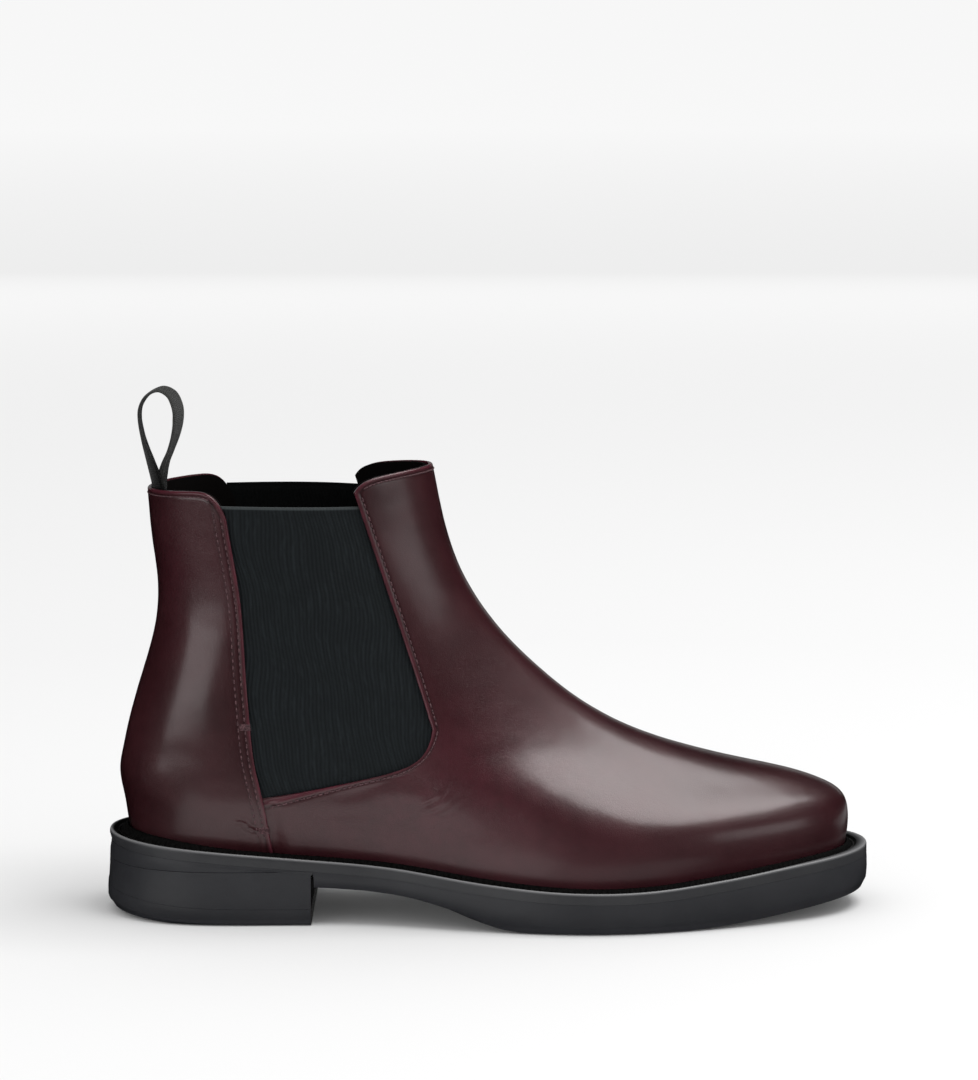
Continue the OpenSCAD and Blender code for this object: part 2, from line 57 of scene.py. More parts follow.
# One slice a row: x and z of its back end, x and z of its front end, half widths at 36, 72, 108 and
# 144 degrees, radius at the back and at the front, and how far its middle follows the welt's line
SLICES = np.array([
    [-141.7, 29.2, 141.8, 22.5, 28.0, 29.5, 45.5, 30.0, 27, 26, 1.00],
    [-143.2, 37.0, 143.6, 34.5, 29.5, 31.0, 47.5, 31.5, 27, 27, 0.92],
    [-144.0, 44.0, 142.2, 44.3, 30.5, 32.0, 47.0, 29.5, 27, 22, 0.78],
    [-145.4, 50.0, 134.5, 49.0, 31.0, 33.0, 44.5, 25.0, 27, 15, 0.60],
    [-146.2, 55.5, 120.6, 54.2, 31.0, 33.5, 41.0, 19.5, 26, 12, 0.42],
    [-145.6, 61.5, 94.2, 59.6, 30.5, 33.5, 38.0, 18.5, 25, 11, 0.25],
    [-143.9, 69.0, 65.6, 67.6, 29.5, 33.0, 35.0, 18.5, 24, 11, 0.12],
    [-141.8, 78.0, 42.5, 78.2, 28.0, 32.5, 33.0, 18.5, 23, 12, 0.04],
    [-138.6, 89.0, 22.5, 93.4, 26.5, 32.0, 31.5, 18.0, 22, 13, 0],
    [-134.6, 101.5, 4.7, 110.4, 24.5, 31.5, 30.5, 17.5, 22, 14, 0],
    [-130.6, 116.0, -7.0, 127.0, 23.0, 31.0, 30.0, 17.5, 22, 15, 0],
    [-129.9, 132.0, -13.9, 141.0, 22.2, 31.0, 30.5, 17.5, 23, 16, 0],
    [-132.6, 148.0, -18.1, 156.0, 22.0, 31.5, 31.0, 17.5, 25, 16, 0],
    [-134.0, 165.0, -21.3, 173.0, 22.2, 32.0, 31.5, 17.5, 27, 16, 0],
    [-134.6, 182.0, -24.5, 190.0, 22.4, 32.5, 32.0, 17.5, 28, 16, 0],
])
KNOTS = np.vstack([2 * SLICES[0] - SLICES[1], SLICES, 2 * SLICES[-1] - SLICES[-2]])
LAST = len(SLICES) - 1
FOOT_BACK, FOOT_FRONT = -142.0, 142.5
# Lines as (x, z) points: top of the welt; (x, y): middle of the foot seen from above
WELT = [(-155, 33.4), (-115, 29.8), (-75, 26.3), (-35, 23.4), (0, 19.2),
        (30, 16.9), (60, 16.9), (90, 19.6), (120, 23.0), (155, 26.0)]
CAMBER = [(-160, 0), (-90, 0), (-40, -1.0), (0, -2.2), (40, -1.6), (80, 2.0), (120, 6.0), (160, 9.0)]
# Edges beside the gore, as (z, x) points
QUARTER_EDGE = [(20, -83.5), (49.5, -88.4), (61.4, -91), (89, -93.9), (128, -96.8), (160, -102),
                (180, -104.5)]
GORE_EDGE = [(40, -14), (77.4, -22), (93, -26.8), (116.6, -34.5), (140, -42.2), (165.5, -50.6), (180, -55.4)]
# Undersides, as (x, z) points: where the sole's and the heel's side walls end and where they touch the ground
EDGE_LINE = [(-69, 15.5), (-58, 15.1), (-44, 14.3), (-29, 12.5), (-16, 9.6), (-4, 6.4), (11, 4.3),
             (22, 3.2), (58, 3.2), (78, 4.0), (95, 5.6), (112, 7.2), (130, 9.0), (152, 11.6)]
TREAD_LINE = [(-69, 15.0), (-44, 13.8), (-29, 12.0), (-16, 8.6), (-4, 4.2), (6, 1.2), (14, 0),
              (76, 0), (92, 1.0), (112, 3.2), (130, 5.6), (152, 8.6)]
HEEL_EDGE_LINE = [(-152, 6.2), (-146, 5.2), (-137, 3.7), (-128, 2.3), (-116, 1.2), (-104, 0.8), (-66, 0.6)]
HEEL_TREAD_LINE = [(-152, 3.0), (-140, 1.6), (-130, 0.6), (-122, 0), (-66, 0)]
GORE_FOOT_Z, GORE_CORNER_Z = 47.5, 77.4
GORE_TOP_LATERAL, GORE_TOP_MEDIAL = 164.0, 165.8
HEEL_SEAT_Z, BREAST_X = 21.3, -68.4
WELT_W, WELT_T = 8.5, 4.4


def curve(table, x):
    """Smooth curve through a table of (x, value) points."""
    t = np.asarray(table, float)
    xs, zs = t[:, 0], t[:, 1]
    x = np.clip(np.asarray(x, float), xs[0], xs[-1])
    m = np.gradient(zs, xs)
    i = np.clip(np.searchsorted(xs, x) - 1, 0, len(xs) - 2)
    h = xs[i + 1] - xs[i]
    f = (x - xs[i]) / h
    return ((2 * f**3 - 3 * f**2 + 1) * zs[i] + (f**3 - 2 * f**2 + f) * h * m[i]
            + (3 * f**2 - 2 * f**3) * zs[i + 1] + (f**3 - f**2) * h * m[i + 1])


def welt_z(x):
    return curve(WELT, x)


def cosd(a):
    return np.cos(np.radians(a))


def sind(a):
    return np.sin(np.radians(a))


def mix(a, b, t):
    return a + (b - a) * t


def smooth(t):
    t = np.clip(t, 0, 1)
    return t * t * (3 - 2 * t)


def ease(t):
    return (1 - cosd(180 * t)) / 2


def bell(d, width):
    return np.exp(-(d / width) ** 2)


def slices(s):
    s = np.asarray(s, float)
    i = np.clip(np.floor(s).astype(int), 0, LAST - 1)
    f = (s - i)[..., None]
    return ((1 - f)**3 * KNOTS[i] + (3 * f**3 - 6 * f**2 + 4) * KNOTS[i + 1]
            + (3 * f**2 - 3 * f**3 + 3 * f + 1) * KNOTS[i + 2] + f**3 * KNOTS[i + 3]) / 6


# Weights that turn a slice's six half widths into a sum of cosines
WAVES = np.array([[(0.2 if k in (0, 5) else 0.4) * (0.5 if j in (0, 5) else 1)
                   * math.cos(math.radians(36 * j * k)) for j in range(6)] for k in range(6)])
WELT_Z_BACK, WELT_Z_FRONT = float(welt_z(FOOT_BACK)), float(welt_z(FOOT_FRONT))


def side_z(p, t):
    return (mix(p[..., 1], p[..., 3], t)
            + p[..., 10] * (welt_z(mix(FOOT_BACK, FOOT_FRONT, t)) - mix(WELT_Z_BACK, WELT_Z_FRONT, t)))


def shape(a, s):
    a, s = np.broadcast_arrays(np.asarray(a, float), np.asarray(s, float))
    p = slices(s)
    t = (1 - cosd(a)) / 2
    x = mix(p[..., 0], p[..., 2], t)
    length = np.hypot(p[..., 2] - p[..., 0], p[..., 3] - p[..., 1])
    st = np.stack([np.sqrt(p[..., 8] * length / 2), p[..., 4] / sind(36), p[..., 5] / sind(72),
                   p[..., 6] / sind(108), p[..., 7] / sind(144), np.sqrt(p[..., 9] * length / 2)], -1)
    c = st @ WAVES.T
    half = sum(c[..., k] * cosd(k * a) for k in range(6))
    return np.stack([x, curve(CAMBER, x) + CENTRE_SHIFT - sind(a) * half, side_z(p, t)], -1)


def unit(v):
    return v / np.maximum(np.linalg.norm(v, axis=-1, keepdims=True), 1e-9)


def normal(a, s):
    a, s = np.broadcast_arrays(np.asarray(a, float), np.asarray(s, float))
    return unit(np.cross(shape(a + 0.4, s) - shape(a - 0.4, s), shape(a, s + 0.02) - shape(a, s - 0.02)))


def layer(a, s, depth):
    return shape(a, s) - np.asarray(depth, float)[..., None] * normal(a, s)


def angle_at(s, x):
    p = slices(s)
    return np.degrees(np.arccos(np.clip(1 - 2 * (x - p[..., 0]) / (p[..., 2] - p[..., 0]), -1, 1)))


def z_at(s, x):
    p = slices(s)
    return side_z(p, np.clip((x - p[..., 0]) / (p[..., 2] - p[..., 0]), 0, 1))


def address(x, z):
    """Angle and height of the point seen from the outer side at x, z."""
    x, z = np.broadcast_arrays(np.asarray(x, float), np.asarray(z, float))
    lo, hi = np.zeros(x.shape), np.full(x.shape, 13.95)
    for _ in range(24):
        m = (lo + hi) / 2
        below = z_at(m, x) < z
        lo, hi = np.where(below, m, lo), np.where(below, hi, m)
    return angle_at(lo, x), lo


def seam_angle(line, s, x):
    for _ in range(5):
        x = curve(line, z_at(s, x))
    return angle_at(s, x)


def quarter_angle(s):
    return seam_angle(QUARTER_EDGE, s, np.full(np.shape(s), -92.0))


def gore_angle(s):
    return seam_angle(GORE_EDGE, s, np.full(np.shape(s), -32.0))


def gore_foot(u):
    return GORE_FOOT_Z + 18.7 * u + (GORE_CORNER_Z - GORE_FOOT_Z - 18.7) * u**12


def gore_point(u, z):
    return mix(curve(QUARTER_EDGE, z), curve(GORE_EDGE, z), u)


def gore_address(u, z):
    return address(gore_point(u, z), z)


CORNER_A, CORNER_S = (float(v) for v in gore_address(1.0, GORE_CORNER_Z))
INSTEP_S = 8.7


def split_s(a):
    a = np.where(a > 180, 360 - a, a)
    return mix(CORNER_S, INSTEP_S, ease((a - CORNER_A) / (180 - CORNER_A)))


def quarter_top(p):
    return 13.2 - 0.68 * np.abs(p)**18


def shaft_top(q):
    return 13.28 - 0.12 * np.abs(q)**3 - 0.24 * np.abs(q)**16


# -------- mesh helpers

def link(name, data):
    obj = bpy.data.objects.new(name, data)
    bpy.context.scene.collection.objects.link(obj)
    return obj


def new_piece(name, verts, faces, material, attributes=None, uv=None, sharp=None):
    """A mesh in metres from points in millimetres, smooth shaded."""
    mesh = bpy.data.meshes.new(name)
    mesh.from_pydata((np.asarray(verts, float) * 0.001).tolist(), [], [list(map(int, f)) for f in faces])
    for key, values in (attributes or {}).items():
        mesh.attributes.new(key, "FLOAT", "POINT").data.foreach_set("value", np.asarray(values, np.float32))
    if uv is not None:
        layer_uv = mesh.uv_layers.new(name="UVMap")
        loops = np.empty(len(mesh.loops), np.int32)
        mesh.loops.foreach_get("vertex_index", loops)
        layer_uv.data.foreach_set("uv", np.asarray(uv, np.float32)[loops].ravel())
    mesh.shade_smooth()
    if sharp:
        mesh.set_sharp_from_angle(angle=math.radians(sharp))
    mesh.materials.append(material)
    obj = link(name, mesh)
    return obj


def grid_faces(rows, cols, base=0, wrap=False):
    j, i = np.meshgrid(np.arange(rows - 1), np.arange(cols if wrap else cols - 1), indexing="ij")
    k = (i + 1) % cols
    return np.stack([base + j * cols + i, base + j * cols + k,
                     base + (j + 1) * cols + k, base + (j + 1) * cols + i], -1).reshape(-1, 4)


def shell(outer, inner, faces):
    """Points and faces of a closed sheet from its outer and inner skins."""
    n = len(outer)
    a = faces.ravel()
    b = np.roll(faces, -1, axis=1).ravel()
    forward = set(zip(a.tolist(), b.tolist()))
    rim = [(q, p, p + n, q + n) for p, q in forward if (q, p) not in forward]
    everything = list(faces.tolist()) + (faces[:, ::-1] + n).tolist() + rim
    return np.vstack([outer, inner]), everything


def merge(points, faces):
    """Joins points that lie on each other; returns the kept indices and the new faces."""
    key = np.round(points, 3)
    _, first, back = np.unique(key, axis=0, return_index=True, return_inverse=True)
    return first, back.ravel()[faces]


def distance(points, line, chunk=4000):
    """Distance from each point to a polyline of close points."""
    out = np.empty(len(points))
    for i in range(0, len(points), chunk):
        d = points[i:i + chunk, None, :] - line[None, :, :]
        out[i:i + chunk] = np.sqrt((d * d).sum(-1)).min(1)
    return out


def noise(points, scale, seed):
    """Smooth random field from a few seeded waves, about -1 to 1."""
    r = np.random.default_rng(seed)
    total = np.zeros(len(points))
    for _ in range(10):
        d = unit(r.normal(size=3)) * r.uniform(0.6, 1.6) / scale
        total += np.sin(points @ d * 2 * math.pi + r.uniform(0, 6.28))
    return total / 5


# Distances of the fine lines from an edge, in millimetres
FINE = np.array([0, .06, .16, .3, .5, .75, 1.0, 1.3, 1.55, 1.8, 2.0, 2.2, 2.45, 2.8, 3.3, 4.0, 5.0])


def edge_lines(length, count, low=False, high=True):
    """Fractions from 0 to 1 with fine lines near the chosen ends, for one length in millimetres."""
    length = np.asarray(length, float)
    fine = FINE[:, None] / length[None, :] if length.ndim else FINE / length
    a = fine[-1] if low else np.zeros_like(fine[-1])
    b = 1 - fine[-1] if high else np.ones_like(fine[-1])
    body = np.array([mix(a, b, k / count) for k in range(count + 1)])
    parts = ([fine[:-1]] if low else []) + [body] + ([1 - fine[:-1][::-1]] if high else [])
    return np.concatenate(parts)


def edge_relief(d):
    """Depth of a folded and stitched edge at distance d from it: rolled, then pulled in by the thread."""
    roll = 0.75 - np.sqrt(np.maximum(0.75**2 - (0.75 - np.minimum(d, 0.75))**2, 0))
    return roll + 0.16 * bell(d - 2.0, 0.55)


# -------- materials

# Pitch of the elastic's ribs and height of the binding along its top, in millimetres
RIB_PITCH, BINDING_H = 1.55, 2.2


class Nodes:
    """Small helper that builds a node tree with short calls."""

    def __init__(self, name):
        self.material = bpy.data.materials.new(name)
        self.material.use_nodes = True
        self.tree = self.material.node_tree
        self.shader = self.tree.nodes["Principled BSDF"]

    def add(self, kind, inputs=None, **settings):
        n = self.tree.nodes.new(kind)
        for k, v in settings.items():
            setattr(n, k, v)
        for k, v in (inputs or {}).items():
            self.feed(n.inputs[k], v)
        return n

    def feed(self, socket, value):
        if isinstance(value, bpy.types.NodeSocket):
            self.tree.links.new(value, socket)
        elif isinstance(value, bpy.types.Node):
            self.tree.links.new(value.outputs[0], socket)
        else:
            socket.default_value = value

    def place(self):
        return self.add("ShaderNodeTexCoord").outputs["Object"]

    def uv(self):
        return self.add("ShaderNodeTexCoord").outputs["UV"]

    def noise(self, scale, detail=4, rough=0.55, where=None):
        return self.add("ShaderNodeTexNoise", {"Vector": where or self.place(), "Scale": scale,
                                               "Detail": detail, "Roughness": rough}).outputs[0]

    def cells(self, scale):
        """Distance to the nearest edge of irregular cells."""
        n = self.add("ShaderNodeTexVoronoi", {"Vector": self.place(), "Scale": scale},
                     feature="DISTANCE_TO_EDGE")
        return n.outputs["Distance"]

    def math(self, op, a, b=0.0, clamp=False):
        return self.add("ShaderNodeMath", {0: a, 1: b}, operation=op, use_clamp=clamp).outputs[0]

    def map(self, v, lo, hi, to_lo=0.0, to_hi=1.0):
        return self.add("ShaderNodeMapRange", {"Value": v, "From Min": lo, "From Max": hi,
                                               "To Min": to_lo, "To Max": to_hi}).outputs[0]

    def mix(self, factor, a, b):
        n = self.add("ShaderNodeMix", {"Factor": factor, "A": a, "B": b}, data_type="RGBA")
        return n.outputs["Result"]

    def attribute(self, name):
        return self.add("ShaderNodeAttribute", attribute_name=name).outputs["Fac"]

    def bump(self, height, distance, strength=1.0, under=None):
        n = self.add("ShaderNodeBump", {"Height": height, "Distance": distance, "Strength": strength})
        if under is not None:
            self.feed(n.inputs["Normal"], under)
        return n.outputs["Normal"]

    def set(self, **values):
        for k, v in values.items():
            self.feed(self.shader.inputs[k.replace("_", " ")], v)


def grey(value):
    return (value, value, value, 1)


def darker(colour, *shares):
    return tuple(c * k for c, k in zip(colour, shares)) + (1,)


def leather(name, dark, mid, red, rough, coat, wear=1.0, shine=0.7):
    """Polished calf leather: mottled dye, pores, a waxed film, redder worn edges and painted shade along the
    stitch lines.
    """
    m = Nodes(name)
    tone = m.noise(28, 5, 0.6)
    cloud = m.noise(9, 3, 0.5)
    base = m.mix(m.map(tone, 0.35, 0.7), dark, mid)
    base = m.mix(m.map(cloud, 0.52, 0.8, 0, 0.35), base, red)
    pores = m.cells(1500)
    speck = m.noise(900, 2, 0.6)
    base = m.mix(m.map(speck, 0.55, 0.75, 0, 0.18), base, dark)
    edge = m.attribute("edge")
    worn = m.math("MULTIPLY", edge, m.map(m.noise(160, 3, 0.6), 0.3, 0.65, 0.35 * wear, 0.95 * wear))
    base = m.mix(worn, base, red)
    # painted shade: the colour is darkened along the stitch lines, where the thread sinks into the leather
    painted_shade = m.attribute("painted_shade")
    base = m.mix(m.math("MULTIPLY", painted_shade, 0.7, clamp=True), base, darker(dark, 0.35, 0.3, 0.3))
    smear = m.noise(14, 4, 0.6)
    m.set(Base_Color=base, Roughness=m.math("ADD", m.map(smear, 0.3, 0.7, rough - 0.04, rough + 0.06),
                                            m.math("MULTIPLY", speck, 0.05)))
    m.set(Coat_Weight=coat, Coat_Roughness=0.23, Specular_IOR_Level=shine,
          Specular_Tint=(1.0, 0.84, 0.83, 1), Coat_Tint=(1.0, 0.96, 0.955, 1))
    wide = m.bump(m.noise(70, 4, 0.6), 0.0006, 0.28)
    fine = m.bump(m.map(pores, 0.0, 0.12), 0.00008, 0.35, wide)
    m.set(Normal=m.bump(m.noise(620, 3, 0.65), 0.00012, 0.45, fine))
    return m.material


def elastic(name):
    """Ribbed elastic webbing; UV is in millimetres, u across the ribs and v along them."""
    m = Nodes(name)
    where = m.uv()
    split = m.add("ShaderNodeSeparateXYZ", {0: where})
    u, v = split.outputs[0], split.outputs[1]
    rib = m.math("SINE", m.math("MULTIPLY", u, 2 * math.pi / RIB_PITCH))
    weft = m.math("SINE", m.math("MULTIPLY", v, 2 * math.pi / 0.62))
    wander = m.math("MULTIPLY", m.math("SUBTRACT", m.noise(0.11, 2, 0.5, where), 0.5), 5.0)
    streak = m.math("SINE", m.math("MULTIPLY", m.math("ADD", u, wander), 2 * math.pi / 3.5))
    patch = m.math("MULTIPLY", m.map(m.noise(0.10, 3, 0.6, where), 0.4, 0.62), m.map(streak, -0.2, 1, 0, 1))
    sheen = m.math("ADD", m.map(rib, -1, 1, 0.0, 0.45), m.math("MULTIPLY", patch, 0.5))
    base = m.mix(sheen, (0.0042, 0.0062, 0.0074, 1), (0.0104, 0.0142, 0.0164, 1))
    base = m.mix(m.map(m.attribute("edge"), 0.4, 1.0, 0, 0.7), base, (0.05, 0.058, 0.06, 1))
    m.set(Base_Color=base, Roughness=0.85, Sheen_Weight=0.08, Sheen_Roughness=0.5, Specular_IOR_Level=0.2)
    low = m.bump(m.map(rib, -1, 1), 0.0002, 0.7)
    m.set(Normal=m.bump(m.map(weft, -1, 1), 0.00008, 0.5, low))
    return m.material


def webbing(name, base_a, base_b):
    """Grosgrain tape; UV is in millimetres, u across the tape and v along it."""
    m = Nodes(name)
    split = m.add("ShaderNodeSeparateXYZ", {0: m.uv()})
    u, v = split.outputs[0], split.outputs[1]
    ribs = m.math("SINE", m.math("MULTIPLY", v, 2 * math.pi / 0.75))
    yarns = m.math("SINE", m.math("MULTIPLY", u, 2 * math.pi / 0.5))
    weave = m.math("ADD", m.map(ribs, -1, 1, 0, 0.75), m.map(yarns, -1, 1, 0, 0.25))
    base = m.mix(weave, base_a, base_b)
    # painted shade: darker on the back strand and where the tape goes into the collar
    base = m.mix(m.attribute("painted_shade"), base, darker(base_a, 0.12, 0.12, 0.12))
    m.set(Base_Color=base, Roughness=0.72, Sheen_Weight=0.12, Sheen_Roughness=0.5, Specular_IOR_Level=0.3)
    m.set(Normal=m.bump(weave, 0.0003, 0.8))
    return m.material


def rubber(name, dark, pale, rough, dust):
    """Moulded rubber: hazy film, fine grit, paler edges that are a painted highlight on the welt's lip, and
    painted shade in the hollows.
    """
    m = Nodes(name)
    haze = m.noise(24, 5, 0.62)
    grit = m.noise(1400, 2, 0.6)
    base = m.mix(m.map(haze, 0.35, 0.75, 0, dust), dark, pale)
    # painted highlight: paler toward the marked edges, strongest along the welt's lip
    base = m.mix(m.math("MULTIPLY", m.attribute("edge"), 0.8, clamp=True), base, pale)
    # painted shade: near black and rougher in the welt's trough, where the upper overhangs it
    crevice_shade = m.attribute("painted_shade")
    base = m.mix(crevice_shade, base, (0.0022, 0.0018, 0.0018, 1))
    film = m.map(haze, 0.3, 0.7, rough - 0.05, rough + 0.08)
    m.set(Base_Color=base, Specular_IOR_Level=0.5,
          Roughness=m.math("ADD", film, m.math("MULTIPLY", crevice_shade, 0.45)))
    low = m.bump(m.noise(160, 3, 0.6), 0.0003, 0.22)
    m.set(Normal=m.bump(grit, 0.00006, 0.5, low))
    return m.material


def yarn(name, dark, pale):
    """Twisted sewing thread."""
    m = Nodes(name)
    twist = m.noise(1800, 2, 0.7)
    m.set(Base_Color=m.mix(m.map(twist, 0.35, 0.65), dark, pale), Roughness=0.6)
    m.set(Normal=m.bump(twist, 0.0002, 0.6))
    return m.material


def board(name, a, b, scale=300, rough=0.85, shine=0.4):
    """Dull flecked stuff: fibre board, cork, and the near-black painted shade inside the gores and in the
    welt's crevice.
    """
    m = Nodes(name)
    fleck = m.noise(scale, 5, 0.7)
    m.set(Base_Color=m.mix(m.map(fleck, 0.35, 0.65), a, b), Roughness=rough, Specular_IOR_Level=shine)
    m.set(Normal=m.bump(fleck, 0.0003, 0.5))
    return m.material


def metal(name):
    """Brushed metal."""
    m = Nodes(name)
    brush = m.noise(500, 3, 0.6)
    m.set(Base_Color=m.mix(brush, (0.42, 0.43, 0.45, 1), (0.62, 0.63, 0.64, 1)), Metallic=1.0,
          Roughness=m.map(brush, 0.3, 0.7, 0.25, 0.42))
    return m.material


UPPER = leather("upper_calf", (0.026, 0.0042, 0.0066, 1), (0.046, 0.0085, 0.0125, 1),
                (0.092, 0.0125, 0.025, 1), rough=0.31, coat=0.8)
# dark lining leather, made almost black so that it also stands for painted shade inside the shaft
LINING_PAINTED_SHADE = leather("lining_calf_painted_shade", (0.0012, 0.0011, 0.0011, 1), (0.0026, 0.0024, 0.0023, 1),
                 (0.003, 0.0026, 0.0026, 1), rough=0.75, coat=0.0, wear=0.3, shine=0.12)
ELASTIC = elastic("gore_elastic")
# near black, painted shade for the inside of the gores
GORE_INSIDE_SHADE = board("gore_inside_painted_shade", (0.0010, 0.0013, 0.0014, 1), (0.0028, 0.0034, 0.0036, 1),
                1300, 0.9, 0.15)
TAPE = webbing("tab_grosgrain", (0.010, 0.0104, 0.0090, 1), (0.040, 0.041, 0.037, 1))
THREAD = yarn("burgundy_thread", (0.030, 0.010, 0.014, 1), (0.135, 0.060, 0.068, 1))
WELT_THREAD = yarn("welt_thread", (0.003, 0.003, 0.003, 1), (0.009, 0.008, 0.008, 1))
# the welt's pale second colour is a painted highlight, laid along its lip
WELT_MAT = rubber("welt_rubber_satin", (0.024, 0.0245, 0.0275, 1), (0.30, 0.30, 0.305, 1), 0.38, 0.05)
# near black, painted shade for the welt's trough and the ridge under the upper's overhang
CREVICE_SHADE_MAT = board("welt_crevice_painted_shade", (0.0012, 0.0011, 0.0011, 1), (0.0055, 0.0052, 0.0050, 1),
                    900, 0.9, 0.12)
SOLE_MAT = rubber("sole_rubber_matt", (0.020, 0.0205, 0.0240, 1), (0.050, 0.051, 0.058, 1), 0.42, 0.3)
BOARD = board("fibre_board", (0.45, 0.33, 0.21, 1), (0.62, 0.48, 0.33, 1))
CORK = board("ground_cork", (0.20, 0.11, 0.05, 1), (0.52, 0.35, 0.19, 1), 160)
STEEL = metal("plain_steel")

# -------- the upper's panels

EDGE_U = np.linspace(0, 1, 260)
FOOT_EDGE = gore_address(EDGE_U, gore_foot(EDGE_U))
FRONT_Z = np.linspace(GORE_CORNER_Z, 171.5, 260)
FRONT_EDGE = address(curve(GORE_EDGE, FRONT_Z), FRONT_Z)
QUARTER_Z = np.linspace(26, 165, 420)
QUARTER_SEAM = address(curve(QUARTER_EDGE, QUARTER_Z), QUARTER_Z)


def both(a, s):
    """Points of a line on the outer side and of its twin on the inner side."""
    return np.vstack([shape(a, s), shape(360 - a, s)])


GORE_LINE = np.vstack([both(*FOOT_EDGE), both(*FRONT_EDGE)])
SEAM_LINE = both(*QUARTER_SEAM)
Q_LINE = np.linspace(-1, 1, 500)
SHAFT_S = shaft_top(Q_LINE)
SHAFT_A = mix(gore_angle(SHAFT_S), 180, 1 - np.abs(Q_LINE))
SHAFT_LINE = shape(np.where(Q_LINE < 0, SHAFT_A, 360 - SHAFT_A), SHAFT_S)
P_LINE = np.sin(np.linspace(-1, 1, 500) * math.pi / 2)
QUARTER_TOP_LINE = shape(P_LINE * quarter_angle(quarter_top(P_LINE)), quarter_top(P_LINE))

# Creases of the vamp: start and end seen from the side, depth and width, as sunk lines
CREASES = [
    ((-28, 44.0), (-16.5, 55), 0.50, 0.8),
    ((-24, 42.5), (-13, 53), 0.44, 0.85),
    ((-20, 43), (-9, 50), 0.14, 1.2),
    ((-62, 50), (-34, 57.5), 0.28, 3.6),
    ((-14, 62), (6, 70), 0.10, 3.2),
    ((-4, 50), (26, 56), 0.10, 4.0),
    ((-70, 38), (-40, 41), 0.2, 3.6),
]
# The same on the quarter, where it meets the welt under the seam
QUARTER_CREASES = [((-99, 40.5), (-89.5, 36.0), 0.75, 0.9)]


def crease_depth(p, creases):
    """Sunk creases at the flex of the foot, on both sides, with a soft fold above each."""
    total = np.zeros(len(p))
    for k, (a, b, deep, wide) in enumerate(creases):
        a, b = np.array(a, float), np.array(b, float)
        q = p[:, [0, 2]]
        d = b - a
        t = np.clip(((q - a) @ d) / (d @ d), 0, 1)
        off = (q - a) - t[:, None] * d
        side = (d[0] * off[:, 1] - d[1] * off[:, 0]) / np.linalg.norm(d)
        wave = 0.6 * np.sin(t * 7 + k)
        fade = np.sin(math.pi * np.clip(t, 0.02, 0.98)) ** 0.7
        reach = np.linalg.norm(off, axis=1)
        line = bell(side - wave, wide) * bell(reach, wide * 2.2)
        fold = bell(side - wave - wide * 1.6, wide * 1.2) * bell(reach, wide * 2.8)
        total += deep * fade * (line - 0.55 * fold)
    return total


def vamp_relief(p):
    d = np.minimum(distance(p, GORE_LINE), distance(p, SHAFT_LINE))
    seam = distance(p, SEAM_LINE)
    wing = p[:, 2] < 60
    under = np.where(wing, 1.1 * smooth((6.5 - seam) / 4.0), 0)
    swell = 0.11 * noise(p, 36, 5) + 0.03 * noise(p, 14, 6)
    quiet = smooth((d - 1.0) / 8)
    depth = edge_relief(d) + under + swell * quiet + crease_depth(p, CREASES) * smooth((d - 1.5) / 3)
    # the dye is rubbed redder where the foot flexes
    flex = bell(np.hypot(p[:, 0] + 12, 1.3 * (p[:, 2] - 50)), 48)
    edge = bell(d - 0.2, 0.55) + 0.3 * bell(d - 1.1, 0.5) + 0.42 * flex
    # the third value is painted shade along the stitch row 2 mm in from the edge
    return depth, edge, bell(d - 2.0, 0.45) * 0.9


def sheet(a, s, faces, depth_in, thickness, relief):
    """A layer at a depth under the surface, with the relief on its outside."""
    flat, out = shape(a, s), normal(a, s)
    extra, edge, painted_shade = relief(flat)
    outer = flat - (depth_in + extra)[:, None] * out
    inner = flat - (depth_in + np.maximum(thickness, extra + 0.3))[:, None] * out
    verts, faces = shell(outer, inner, faces)
    # the relief's third value is painted shade, kept on the outer skin only
    attributes = {"edge": np.concatenate([edge, edge]), "painted_shade": np.concatenate([painted_shade, painted_shade * 0])}
    return verts, faces, attributes


